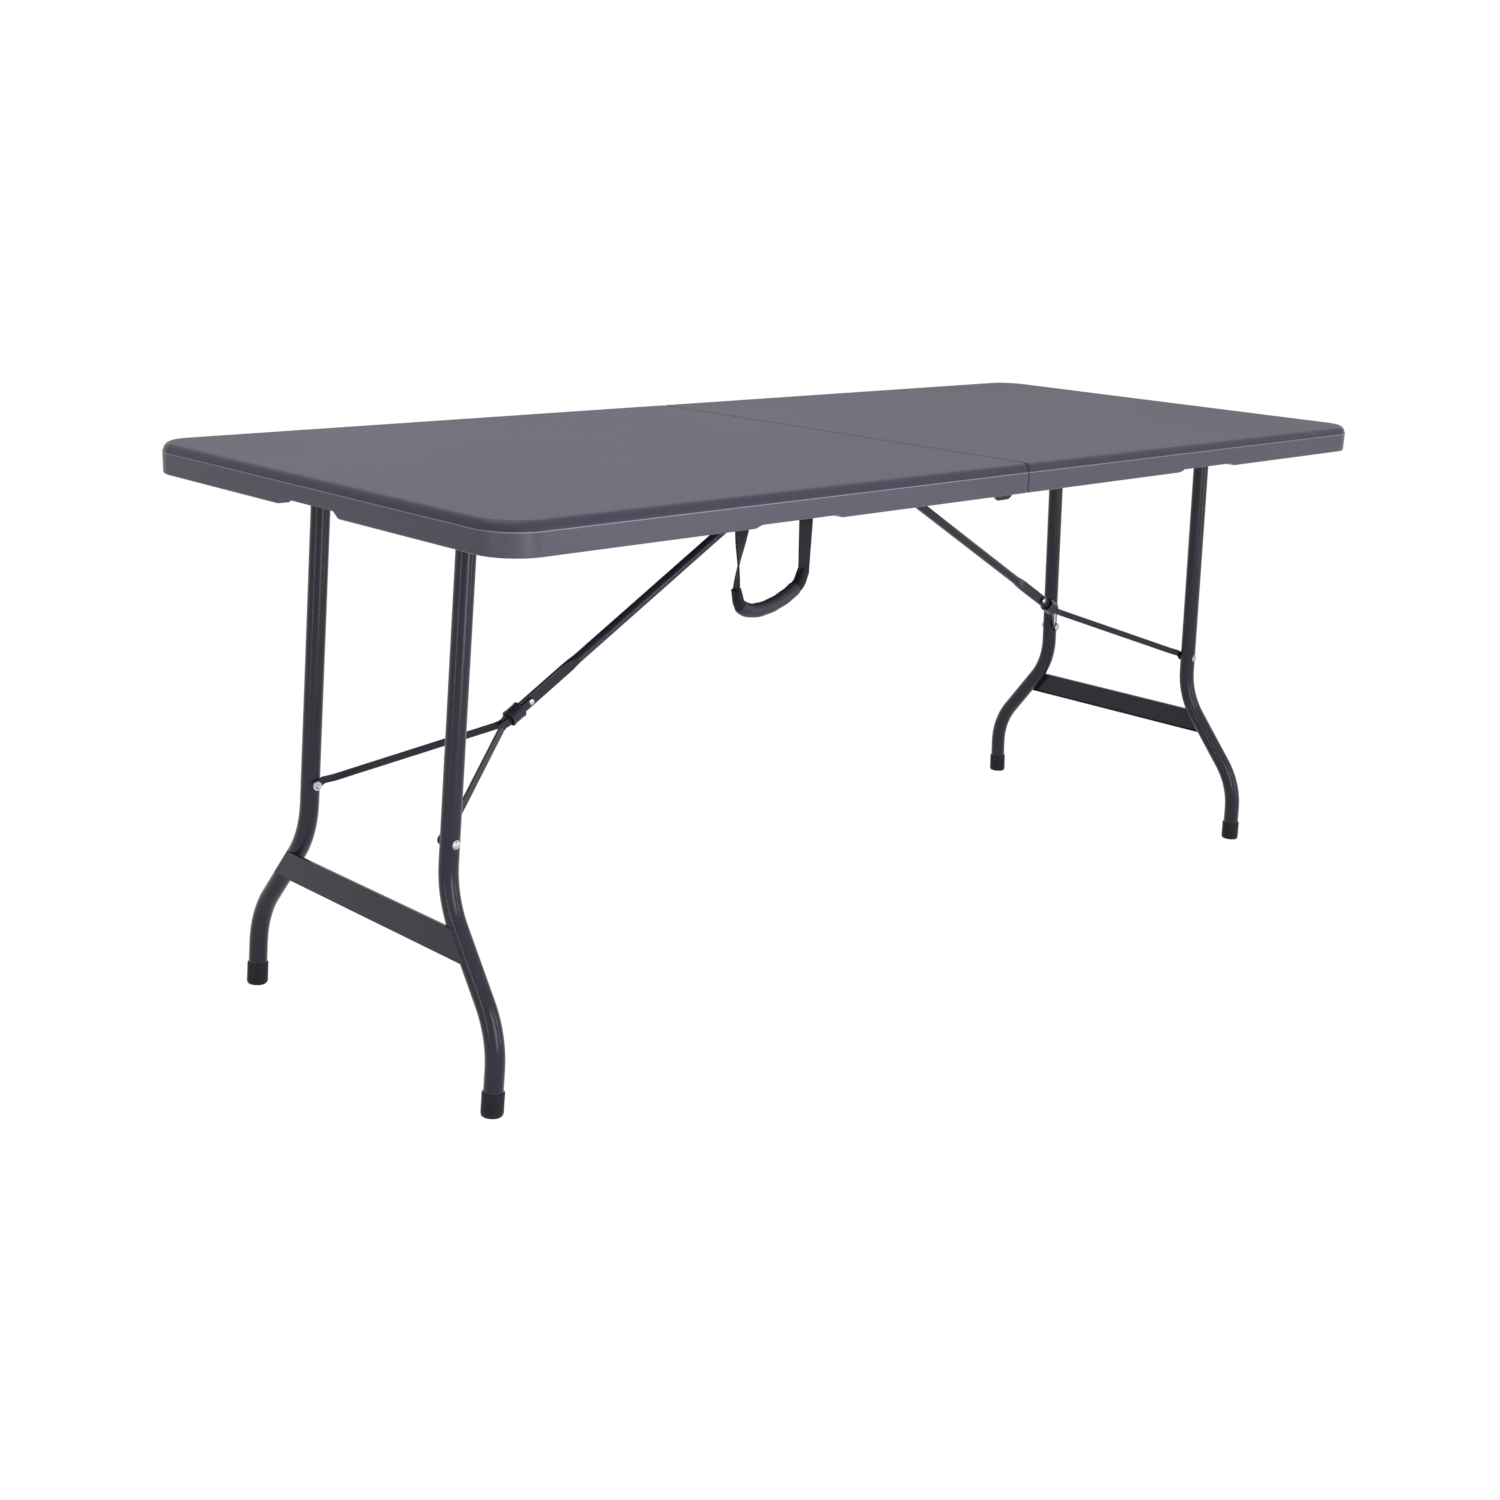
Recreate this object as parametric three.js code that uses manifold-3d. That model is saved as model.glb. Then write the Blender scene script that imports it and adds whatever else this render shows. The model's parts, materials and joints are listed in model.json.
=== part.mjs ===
// Fold-in-half banquet table: two moulded plastic top halves on a steel underframe, two splayed
// leg frames that fold flat under the top, a locking brace for each frame and a carry handle.
// Millimetres, +Z up, X along the length, origin on the floor under the middle of the top.
import * as THREE from 'three';
import { mergeVertices } from 'three/addons/utils/BufferGeometryUtils.js';
import Module from 'manifold-3d';

const wasm = await Module();
wasm.setup();

// ---------------------------------------------------------------- driving dimensions
const TABLE_LENGTH = 1800;
const TABLE_WIDTH = 740;
const TABLE_HEIGHT = 740;
const FIT = 0.3;                 // gap left between pieces that touch or turn on each other
const SEGMENTS = 14;             // facets round every tube

// moulded top halves
const SEAM_GAP = 1.5;
const RIM_DEPTH = 40;
const RIM_WALL = 18;
const SEAM_WALL = 14;
const PANEL_THICKNESS = 12;
const CORNER_RADIUS = 52;
const SEAM_CORNER_RADIUS = 3;
const EDGE_SHOULDER = 12;        // height of the sloped band round the top face
const EDGE_INSET = 10;           // how far the band leans in
const RECESS_DRAFT = 2;
const RECESS_SEAM_RADIUS = 8;
const SIDE_NOTCH_CENTRE = 450;   // carry-handle notch, from the seam
const SIDE_NOTCH_LENGTH = 153;
const SIDE_NOTCH_DEPTH = 4;
const END_NOTCH_LENGTH = 130;
const END_NOTCH_DEPTH = 8;
const NOTCH_SLOPE = 11;
const POCKET_DEPTH = 5;          // stiffening pockets moulded into the underside
const POCKET_LENGTH = 96;
const POCKET_WIDTH = 68;
const POCKET_ROWS = 5;
const POCKET_COLUMNS = 5;
const POCKET_PITCH_X = 132;
const POCKET_PITCH_Y = 108;
const POCKET_FIRST_X = 118;

// rails under the long sides
const RAIL_INSET = 42;           // inner face of the web from the long edge
const RAIL_WEB_Y = TABLE_WIDTH / 2 - RAIL_INSET;
const RAIL_STEEL = 2.5;
const RAIL_FLANGE = 25;
const RAIL_DROP = 27;            // web height
const RAIL_START = 18;
const RAIL_PAST_PIVOT = 30;
const SCREW_STATIONS = [150, 640];
const SCREW_SHANK_RADIUS = 2.2;
const SCREW_HEAD_RADIUS = 5;
const SCREW_HEAD_HEIGHT = 2.4;
const SCREW_LENGTH = 10;

// centre hinge
const HINGE_EYE_RADIUS = 14;
const HINGE_PLATE = 4;
const HINGE_REACH = 70;
const HINGE_SKIRT = 38;
const HINGE_PIN_RADIUS = 4;
const HINGE_PIN_HEAD_RADIUS = 7;
const HINGE_PIN_HEAD = 2;
const HINGE_PIN_TIP = 1.5;       // how far the pin stands past the inner plate
const HINGE_SLOT_CLEAR = 2;      // room round the plates in the seam wall
const HINGE_ARM_LIFT = 2;        // the plate's lower edge climbs this far to its end
const HINGE_SKIRT_LIFT = 0.5;

// leg frames
const LEG_PIVOT_X = 780;
const LEG_PIVOT_DROP = 15;       // pivot below the panel
const LEG_SPLAY = THREE.MathUtils.degToRad(3.87);
const LEG_RADIUS = 12.5;
const LEG_WALL = 1.2;
const LEG_TOP_Y = 151;
const LEG_FOOT_Y = 262;
const LEG_BEND_HIGH = 243;       // height of the upper bend's corner
const LEG_BEND_LOW = 100;
const LEG_BEND_RADIUS = 125;
const LEG_BEND_STEPS = 4;
const PIVOT_TUBE_RADIUS = 9;
const PIVOT_TUBE_WALL = 1.4;
const PIVOT_TUBE_PAST_WEB = 2.5;
const BUSH_WALL = 1.2;
const BUSH_FLANGE = 1.3;
const BUSH_FLANGE_THICKNESS = 1.5;
const BUSH_PAST_WEB = 0.5;
const CROSSBAR_HEIGHT_ABOVE_FLOOR = 194;
const CROSSBAR_DEPTH = 38;
const CROSSBAR_THICKNESS = 5;
const CROSSBAR_STEEL = 2;
const CROSSBAR_OFFSET = 8.5;
const CROSSBAR_OVERLAP = 4;
const FOOT_WALL = 1.4;
const FOOT_RADIUS = LEG_RADIUS + FIT + FOOT_WALL;
const FOOT_HEIGHT = 30;
const FOOT_SOLE = 5;
const FOOT_CHAMFER = 2.5;

// braces
const BRACE_PIVOT_X = 32;
const BRACE_PIVOT_DROP = 12;
const BRACE_TUBE_RADIUS = 8;
const BRACE_TUBE_WALL = 1.2;
const BRACE_EYE_RADIUS = 11.3;
const BRACE_EYE_LENGTH = 22;
const BRACE_BOLT_HEIGHT = 312;   // height of the brace bolts on the legs
const BRACE_KINK = 19;           // how far the middle rivet hangs below the straight line
const ARM_RADIUS = 7;
const ARM_WALL = 1.2;
const TONGUE_HALF_WIDTH = 2.2;
const TONGUE_HALF_HEIGHT = 8.8;
const TONGUE_START = 62;         // flat end, measured back from the rivet
const TONGUE_FLARE = 33;
const TONGUE_PAST_RIVET = 49;
const TONGUE_SQUARENESS_Y = 1.5; // how far the round section is pressed square, across and in height
const TONGUE_SQUARENESS_Z = 1.1;
const ROD_THICKNESS = 3;
const ROD_HALF_HEIGHT = 5.2;
const ROD_EYE_RADIUS = 6;
const NECK_LENGTH = 50;
const NECK_BEND = 8;             // length of the bend from the neck into the spread
const NECK_BEND_OUT = 3;
const NECK_BEND_UP = 1;
const ROD_LEG_GAP = 0.8;
const ROD_TOE = 12;              // flat landing along the leg at each rod's end
const ROD_TOE_OUT = 10;
const ROD_TOE_UP = 2;
const ROD_END_EYE_RADIUS = 7.5;
const RIVET_RADIUS = 2.2;
const RIVET_HEAD_RADIUS = 3.5;
const RIVET_HEAD = 1.1;
const LOCK_BORE_RADIUS = 9.8;
const LOCK_WALL = 2;
const LOCK_LENGTH = 22;
const LOCK_CHAMFER = 0.8;
const LOCK_FROM_RIVET = 28;
const BOLT_RADIUS = 3;
const BOLT_HEAD_RADIUS = 5.8;
const BOLT_HEAD = 3;
const EYELET_RADIUS = 6.3;
const EYELET_BORE = 1.8;
const EYELET_SHANK_RADIUS = 3;
const EYELET_HEAD = 1.2;
const EYELET_CROWN = 1;
const EYELET_BLIND = 1.5;        // thickness of the eyelet's closed end

// carry handle
const HANDLE_X = -464;
const HANDLE_INSET = 28.5;       // handle's plane from the front edge
const HANDLE_Y = HANDLE_INSET - TABLE_WIDTH / 2;
const HANDLE_PIVOT_DROP = 20;
const HANDLE_LEFT = -56;
const HANDLE_RIGHT = 54;
const HANDLE_LEFT_LOW = -63;
const STRAP_WIDTH = 24;
const STRAP_THICKNESS = 2.4;
const STRAP_TWIST = THREE.MathUtils.degToRad(68);
const STRAP_EYE_RADIUS = 4.7;
const ANCHOR_PIN_RADIUS = 2.2;
const ANCHOR_LUG = 3;
const ANCHOR_BASE = 3;
const ANCHOR_HALF_DEPTH = 5;
const ANCHOR_SIDE_PLAY = 0.5;
const ANCHOR_BELOW_PIN = 2;
const STRAP_TAPER = 0.25;        // width lost between the pin and the grip
const GRIP_RADIUS = 8.8;
const GRIP_CORE_RADIUS = 4;
const GRIP_BORE_PLAY = 0.4;
const GRIP_START = 0.13;         // where the sleeve starts and stops along the core
const GRIP_END = 0.83;
const GRIP_BORE_PAST = 0.02;
const GRIP_DROP = 114.5;         // lowest point of the grip's centre line below the handle pivot

// ---------------------------------------------------------------- derived levels
const HALF_LENGTH = TABLE_LENGTH / 2;
const HALF_WIDTH = TABLE_WIDTH / 2;
const RIM_BOTTOM = TABLE_HEIGHT - RIM_DEPTH;
const PANEL_BOTTOM = TABLE_HEIGHT - PANEL_THICKNESS;
const HINGE_Z = RIM_BOTTOM;
const LEG_PIVOT_Z = PANEL_BOTTOM - LEG_PIVOT_DROP;
const BRACE_PIVOT_Z = PANEL_BOTTOM - BRACE_PIVOT_DROP;
const LEG_REACH = LEG_PIVOT_Z / Math.cos(LEG_SPLAY);
const onLeg = (height) => (LEG_PIVOT_Z - height) / Math.cos(LEG_SPLAY);
const BOLT_DROP = onLeg(BRACE_BOLT_HEIGHT);
const RAIL_TOP = PANEL_BOTTOM - FIT;
const RAIL_END = LEG_PIVOT_X + RAIL_PAST_PIVOT;
const RAIL_OUTER_Y = RAIL_WEB_Y + RAIL_STEEL;

// The rivet's place: arm minus rod equals the folded distance from pivot to bolt, so the brace
// closes both with the legs out and with the legs folded flat.
const boltX = LEG_PIVOT_X + BOLT_DROP * Math.sin(LEG_SPLAY);
const boltRun = boltX - BRACE_PIVOT_X;
const boltFall = BRACE_PIVOT_Z - BRACE_BOLT_HEIGHT;
const spread = Math.hypot(boltRun, boltFall);
const foldedSpread = Math.hypot(LEG_PIVOT_X - BOLT_DROP - BRACE_PIVOT_X, LEG_PIVOT_Z - BRACE_PIVOT_Z);
const focusGap = (spread ** 2 - foldedSpread ** 2) / 4;
const rivetAlong = spread / 2 + (foldedSpread / 2) * Math.sqrt(1 + BRACE_KINK ** 2 / focusGap);
const lineAngle = Math.atan2(boltFall, boltRun);
const ARM_LENGTH = Math.hypot(rivetAlong, BRACE_KINK);
const ROD_LENGTH = Math.hypot(spread - rivetAlong, BRACE_KINK);
const ARM_ANGLE = lineAngle + Math.atan2(BRACE_KINK, rivetAlong);
const ROD_ANGLE = lineAngle - Math.atan2(BRACE_KINK, spread - rivetAlong);

// ---------------------------------------------------------------- materials
const paint = (color, roughness, metalness) => (
  new THREE.MeshStandardMaterial({ color, roughness, metalness }));
const PLASTIC = [0x73737f, 0.55, 0];
const STEEL_PAINT = [0x3f3d4a, 0.38, 0.1];
const BRIGHT_STEEL = [0xb9b9be, 0.3, 1];
const RUBBER = [0x1a1822, 0.75, 0];
const WEBBING = [0x1b1a22, 0.6, 0];
const GRIP_RUBBER = [0x2e2d38, 0.45, 0];
const NYLON = [0x202028, 0.5, 0];

// ---------------------------------------------------------------- geometry helpers
/** Closed manifold solid of a three.js geometry. */
function solid(geometry) {
  const bare = geometry.index ? geometry.toNonIndexed() : geometry.clone();
  bare.deleteAttribute('normal');
  bare.deleteAttribute('uv');
  const merged = mergeVertices(bare, 1e-4);
  const mesh = new wasm.Mesh({
    numProp: 3,
    vertProperties: new Float32Array(merged.attributes.position.array),
    triVerts: new Uint32Array(merged.index.array),
  });
  return new wasm.Manifold(mesh);
}

/** three.js geometry of a manifold solid. */
function geometryOf(body) {
  const mesh = body.getMesh();
  const geometry = new THREE.BufferGeometry();
  geometry.setAttribute('position', new THREE.BufferAttribute(new Float32Array(mesh.vertProperties), 3));
  geometry.setIndex(new THREE.BufferAttribute(new Uint32Array(mesh.triVerts), 1));
  geometry.computeVertexNormals();
  return geometry;
}

/** Solid skinned over rings of equal length; a closed loop of rings has no end caps. */
function skin(rings, loop = false) {
  const count = rings[0].length;
  const positions = rings.flat().flatMap((point) => [point.x, point.y, point.z]);
  const index = [];
  const last = loop ? rings.length : rings.length - 1;
  for (let r = 0; r < last; r++) {
    const a = r * count;
    const b = ((r + 1) % rings.length) * count;
    for (let i = 0; i < count; i++) {
      const j = (i + 1) % count;
      index.push(a + i, a + j, b + j, a + i, b + j, b + i);
    }
  }
  if (!loop) {
    const end = (rings.length - 1) * count;
    for (let i = 1; i < count - 1; i++) {
      index.push(0, i + 1, i, end, end + i, end + i + 1);
    }
  }
  const geometry = new THREE.BufferGeometry();
  geometry.setAttribute('position', new THREE.Float32BufferAttribute(positions, 3));
  geometry.setIndex(volumeOf(positions, index) < 0 ? index.reverse() : index);
  return geometry;
}

/** Signed volume of a triangle list. */
function volumeOf(positions, index) {
  const at = (i) => new THREE.Vector3(...positions.slice(3 * i, 3 * i + 3));
  let sum = 0;
  for (let t = 0; t < index.length; t += 3) {
    sum += at(index[t]).dot(at(index[t + 1]).cross(at(index[t + 2])));
  }
  return sum;
}

/** Box given by its low and high corners. */
function box(low, high) {
  const geometry = new THREE.BoxGeometry(high[0] - low[0], high[1] - low[1], high[2] - low[2]);
  geometry.translate((low[0] + high[0]) / 2, (low[1] + high[1]) / 2, (low[2] + high[2]) / 2);
  return solid(geometry);
}

/** Solid cylinder along Y between two Y values, centred on (x, z). */
function barY(radius, y0, y1, x = 0, z = 0, segments = SEGMENTS) {
  const geometry = new THREE.CylinderGeometry(radius, radius, Math.abs(y1 - y0), segments);
  geometry.translate(x, (y0 + y1) / 2, z);
  return solid(geometry);
}

/** Solid cylinder along X between two X values. */
function barX(radius, x0, x1, z = 0, y = 0, segments = SEGMENTS) {
  const geometry = new THREE.CylinderGeometry(radius, radius, x1 - x0, segments);
  geometry.rotateZ(Math.PI / 2);
  geometry.translate((x0 + x1) / 2, y, z);
  return solid(geometry);
}

/** Closed turned piece from (radius, height) pairs round Z. */
function turned(profile, segments = SEGMENTS) {
  const points = profile.map(([radius, height]) => new THREE.Vector2(radius, height));
  const geometry = new THREE.LatheGeometry(points, segments);
  geometry.rotateX(Math.PI / 2);
  const body = solid(geometry);
  return body.volume() < 0 ? solid(flipped(geometry)) : body;
}

/** The same geometry with its faces turned over. */
function flipped(geometry) {
  const copy = geometry.clone();
  copy.setIndex(Array.from(copy.index.array).reverse());
  return copy;
}

/** Flat outline in X and Z given thickness along Y. */
function plateY(shape, y0, y1) {
  const low = Math.min(y0, y1);
  const settings = { depth: Math.abs(y1 - y0), bevelEnabled: false, curveSegments: 10 };
  const geometry = new THREE.ExtrudeGeometry(shape, settings);
  geometry.rotateX(Math.PI / 2);
  geometry.translate(0, low + Math.abs(y1 - y0), 0);
  return solid(geometry);
}

/** Corner points of a half top's outline: square-ish at the seam, rounded at the outer end. */
function outline(seamX, endX, halfWidth, endRadius, seamRadius, z) {
  const points = [];
  const arc = (cx, cy, radius, from, steps) => {
    for (let i = 0; i <= steps; i++) {
      const angle = from + (Math.PI / 2) * (i / steps);
      points.push(new THREE.Vector3(cx + radius * Math.cos(angle), cy + radius * Math.sin(angle), z));
    }
  };
  arc(endX - endRadius, halfWidth - endRadius, endRadius, 0, 8);
  arc(seamX + seamRadius, halfWidth - seamRadius, seamRadius, Math.PI / 2, 2);
  arc(seamX + seamRadius, seamRadius - halfWidth, seamRadius, Math.PI, 2);
  arc(endX - endRadius, endRadius - halfWidth, endRadius, 1.5 * Math.PI, 8);
  return points;
}

/** Ring of points round a centre, in the plane spanned by two directions. */
function ringAt(centre, across, up, radiusA, radiusB = radiusA, segments = SEGMENTS) {
  return Array.from({ length: segments }, (_, i) => {
    const angle = (2 * Math.PI * i) / segments;
    return centre.clone()
      .addScaledVector(across, radiusA * Math.cos(angle))
      .addScaledVector(up, radiusB * Math.sin(angle));
  });
}

/** Add a finished body to a group as a named mesh. */
function place(group, name, body, finish) {
  const mesh = new THREE.Mesh(geometryOf(body), paint(...finish));
  mesh.name = name;
  group.add(mesh);
  return mesh;
}

// ---------------------------------------------------------------- moulded top
/** One half of the top, seam at X = 0, outer end towards +X; front is the local Y sign. */
function topHalf(front) {
  const seam = SEAM_GAP / 2;
  const lip = 1.5;
  const shoulderFoot = TABLE_HEIGHT - EDGE_SHOULDER;
  const levels = [
    [RIM_BOTTOM, lip],
    [RIM_BOTTOM + lip, 0],
    [shoulderFoot, 0],
    [shoulderFoot + 0.16 * EDGE_SHOULDER, 0.08 * EDGE_INSET],
    [shoulderFoot + 0.55 * EDGE_SHOULDER, 0.26 * EDGE_INSET],
    [shoulderFoot + 0.85 * EDGE_SHOULDER, 0.56 * EDGE_INSET],
    [TABLE_HEIGHT, EDGE_INSET],
  ];
  let body = solid(skin(levels.map(([z, inset]) => outline(
    seam + 0.2 * inset,
    HALF_LENGTH - inset,
    HALF_WIDTH - inset,
    CORNER_RADIUS - inset,
    SEAM_CORNER_RADIUS,
    z,
  ))));

  const recess = [[RIM_BOTTOM - 1, 0], [PANEL_BOTTOM, RECESS_DRAFT]];
  body = body.subtract(solid(skin(recess.map(([z, inset]) => outline(
    seam + SEAM_WALL + inset,
    HALF_LENGTH - RIM_WALL - inset,
    HALF_WIDTH - RIM_WALL - inset,
    CORNER_RADIUS - RIM_WALL - inset,
    RECESS_SEAM_RADIUS,
    z,
  )))));

  for (const y of [-1, 1]) {
    body = body.subtract(railSlot(y));
    for (const x of SCREW_STATIONS) {
      const yScrew = y * (RAIL_WEB_Y - RAIL_FLANGE / 2);
      body = body.subtract(screwHole(x, yScrew));
    }
  }
  const firstY = (-POCKET_PITCH_Y * (POCKET_ROWS - 1)) / 2;
  for (let column = 0; column < POCKET_COLUMNS; column++) {
    for (let row = 0; row < POCKET_ROWS; row++) {
      const x = POCKET_FIRST_X + column * POCKET_PITCH_X;
      const y = firstY + row * POCKET_PITCH_Y;
      body = body.subtract(box(
        [x - POCKET_LENGTH / 2, y - POCKET_WIDTH / 2, PANEL_BOTTOM - 1],
        [x + POCKET_LENGTH / 2, y + POCKET_WIDTH / 2, PANEL_BOTTOM + POCKET_DEPTH],
      ));
    }
  }
  body = body.subtract(notch(SIDE_NOTCH_LENGTH, SIDE_NOTCH_DEPTH)
    .translate([SIDE_NOTCH_CENTRE, front * (HALF_WIDTH - RIM_WALL / 2), 0]));
  return body.subtract(notch(END_NOTCH_LENGTH, END_NOTCH_DEPTH)
    .rotate([0, 0, 90])
    .translate([HALF_LENGTH - RIM_WALL / 2, 0, 0]));
}

/** Opening in the seam wall that a rail and its hinge plates run through. */
function railSlot(y) {
  const near = RAIL_WEB_Y - HINGE_PLATE - HINGE_SLOT_CLEAR;
  const far = RAIL_OUTER_Y + HINGE_PLATE + HINGE_PIN_HEAD + HINGE_SLOT_CLEAR + 1;
  return box(
    [-SEAM_GAP, y > 0 ? near : -far, RIM_BOTTOM - 1],
    [SEAM_WALL + RECESS_DRAFT + SEAM_GAP, y > 0 ? far : -near, PANEL_BOTTOM],
  );
}

/** Blind hole for a rail screw. */
function screwHole(x, y) {
  const geometry = new THREE.CylinderGeometry(
    SCREW_SHANK_RADIUS + FIT,
    SCREW_SHANK_RADIUS + FIT,
    SCREW_LENGTH + 2,
    8,
  );
  geometry.rotateX(Math.PI / 2);
  const top = RAIL_TOP - RAIL_STEEL - FIT + SCREW_LENGTH + FIT;
  geometry.translate(x, y, top - (SCREW_LENGTH + 2) / 2);
  return solid(geometry);
}

/** Shallow cut with sloped ends across the foot of a rim wall, centred on the origin. */
function notch(length, depth) {
  const shape = new THREE.Shape();
  shape.moveTo(-length / 2, RIM_BOTTOM - 1);
  shape.lineTo(length / 2, RIM_BOTTOM - 1);
  shape.lineTo(length / 2, RIM_BOTTOM);
  shape.lineTo(length / 2 - NOTCH_SLOPE, RIM_BOTTOM + depth);
  shape.lineTo(NOTCH_SLOPE - length / 2, RIM_BOTTOM + depth);
  shape.lineTo(-length / 2, RIM_BOTTOM);
  return plateY(shape, -RIM_WALL, RIM_WALL);
}

// ---------------------------------------------------------------- underframe of one half
/** L-section rail; the flange lies under the panel and the web carries the leg pivot. */
function rail(y) {
  const web = [y * RAIL_WEB_Y, y * RAIL_OUTER_Y].sort((a, b) => a - b);
  const inner = y * (RAIL_WEB_Y - RAIL_FLANGE);
  const flange = [inner, y * RAIL_OUTER_Y].sort((a, b) => a - b);
  let body = box([RAIL_START, web[0], RAIL_TOP - RAIL_DROP], [RAIL_END, web[1], RAIL_TOP]);
  body = body.add(box([RAIL_START, flange[0], RAIL_TOP - RAIL_STEEL], [RAIL_END, flange[1], RAIL_TOP]));
  const holeRadius = PIVOT_TUBE_RADIUS + BUSH_WALL + 2 * FIT;
  body = body.subtract(barY(holeRadius, web[0] - 1, web[1] + 1, LEG_PIVOT_X, LEG_PIVOT_Z));
  for (const x of SCREW_STATIONS) {
    body = body.subtract(screwHole(x, y * (RAIL_WEB_Y - RAIL_FLANGE / 2)));
  }
  return body;
}

/** Pan-head screw that holds a rail to the panel. */
function railScrew() {
  return turned([
    [0, -SCREW_HEAD_HEIGHT],
    [SCREW_HEAD_RADIUS * 0.6, -SCREW_HEAD_HEIGHT],
    [SCREW_HEAD_RADIUS, -SCREW_HEAD_HEIGHT * 0.4],
    [SCREW_HEAD_RADIUS, 0],
    [SCREW_SHANK_RADIUS, 0],
    [SCREW_SHANK_RADIUS, SCREW_LENGTH - 2],
    [0, SCREW_LENGTH],
  ], 10);
}

/** Hinge plate: round eye on the fold line and an arm along the rail's web. */
function hingePlate(eyeRadius, skirt) {
  const shape = new THREE.Shape();
  const top = RAIL_TOP - RAIL_STEEL - FIT;
  shape.moveTo(HINGE_REACH, HINGE_Z + HINGE_ARM_LIFT);
  shape.lineTo(HINGE_REACH, top);
  shape.lineTo(RAIL_START, top);
  shape.lineTo(0, HINGE_Z + eyeRadius);
  shape.absarc(0, HINGE_Z, eyeRadius, Math.PI / 2, 1.5 * Math.PI, false);
  if (skirt) {
    shape.lineTo(HINGE_SKIRT / 2, HINGE_Z - eyeRadius);
  }
  shape.lineTo(HINGE_SKIRT, HINGE_Z + HINGE_SKIRT_LIFT);
  return shape;
}

/** Flanged plastic bush that lines a rail's pivot hole. */
function pivotBush() {
  const bore = PIVOT_TUBE_RADIUS + FIT;
  const outer = bore + BUSH_WALL;
  const end = BUSH_FLANGE_THICKNESS + FIT + RAIL_STEEL + BUSH_PAST_WEB;
  return turned([
    [bore, 0],
    [outer + BUSH_FLANGE, 0],
    [outer + BUSH_FLANGE, BUSH_FLANGE_THICKNESS],
    [outer, BUSH_FLANGE_THICKNESS],
    [outer, end],
    [bore, end],
    [bore, 0],
  ]);
}

/** Straight hollow tube along Y, centred on the origin. */
function crossTube(radius, wall, halfLength) {
  const ringY = (r, y) => ringAt(
    new THREE.Vector3(0, y, 0),
    new THREE.Vector3(1, 0, 0),
    new THREE.Vector3(0, 0, 1),
    r,
  );
  return solid(skin([
    ringY(radius, -halfLength),
    ringY(radius, halfLength),
    ringY(radius - wall, halfLength),
    ringY(radius - wall, -halfLength),
  ], true));
}

// ---------------------------------------------------------------- leg frame, origin on its pivot
/** Centre line of a leg in its own plane: straight, swept out, then straight to the foot. */
function legCentreLine(endDrop) {
  const corners = [
    new THREE.Vector2(LEG_TOP_Y, 0),
    new THREE.Vector2(LEG_TOP_Y, -onLeg(LEG_BEND_HIGH)),
    new THREE.Vector2(LEG_FOOT_Y, -onLeg(LEG_BEND_LOW)),
    new THREE.Vector2(LEG_FOOT_Y, -endDrop),
  ];
  const points = [corners[0]];
  for (const i of [1, 2]) {
    const before = corners[i - 1].clone().sub(corners[i]).normalize();
    const after = corners[i + 1].clone().sub(corners[i]).normalize();
    const turn = Math.PI - Math.acos(before.dot(after));
    const tangent = LEG_BEND_RADIUS * Math.tan(turn / 2);
    const start = corners[i].clone().addScaledVector(before, tangent);
    const towards = before.clone().add(after).normalize();
    const centre = corners[i].clone().addScaledVector(towards, LEG_BEND_RADIUS / Math.cos(turn / 2));
    const sense = Math.sign(before.cross(after));
    for (let s = 0; s <= LEG_BEND_STEPS; s++) {
      const angle = -sense * turn * (s / LEG_BEND_STEPS);
      points.push(start.clone().rotateAround(centre, angle));
    }
  }
  points.push(corners[3]);
  return points;
}

/** Rings of a leg's tube at one radius, for the leg on the given Y side. */
function legRings(radius, side, endDrop) {
  const line = legCentreLine(endDrop);
  return line.map((point, i) => {
    const before = line[Math.max(i - 1, 0)];
    const after = line[Math.min(i + 1, line.length - 1)];
    const along = after.clone().sub(before).normalize();
    const across = new THREE.Vector3(0, -side * along.y, along.x);
    const centre = new THREE.Vector3(0, side * point.x, point.y);
    return ringAt(centre, new THREE.Vector3(1, 0, 0), across, radius);
  });
}

/** Hollow leg with a domed top round the pivot tube and holes for the brace bolt. */
function leg(side) {
  const endDrop = LEG_REACH - FOOT_SOLE - 1;
  const outer = legRings(LEG_RADIUS, side, endDrop);
  const inner = legRings(LEG_RADIUS - LEG_WALL, side, endDrop).reverse();
  let body = solid(skin([...outer, ...inner], true));
  const dome = new THREE.SphereGeometry(LEG_RADIUS, SEGMENTS, 6);
  dome.rotateX(Math.PI / 2);
  dome.translate(0, side * LEG_TOP_Y, 0);
  body = body.add(solid(dome));
  const reach = 2 * LEG_RADIUS;
  const [y0, y1] = [side * LEG_TOP_Y - reach, side * LEG_TOP_Y + reach];
  body = body.subtract(barY(PIVOT_TUBE_RADIUS + FIT, y0, y1));
  return body.subtract(barY(BOLT_RADIUS + FIT, y0, y1, 0, -BOLT_DROP, 10));
}

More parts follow.
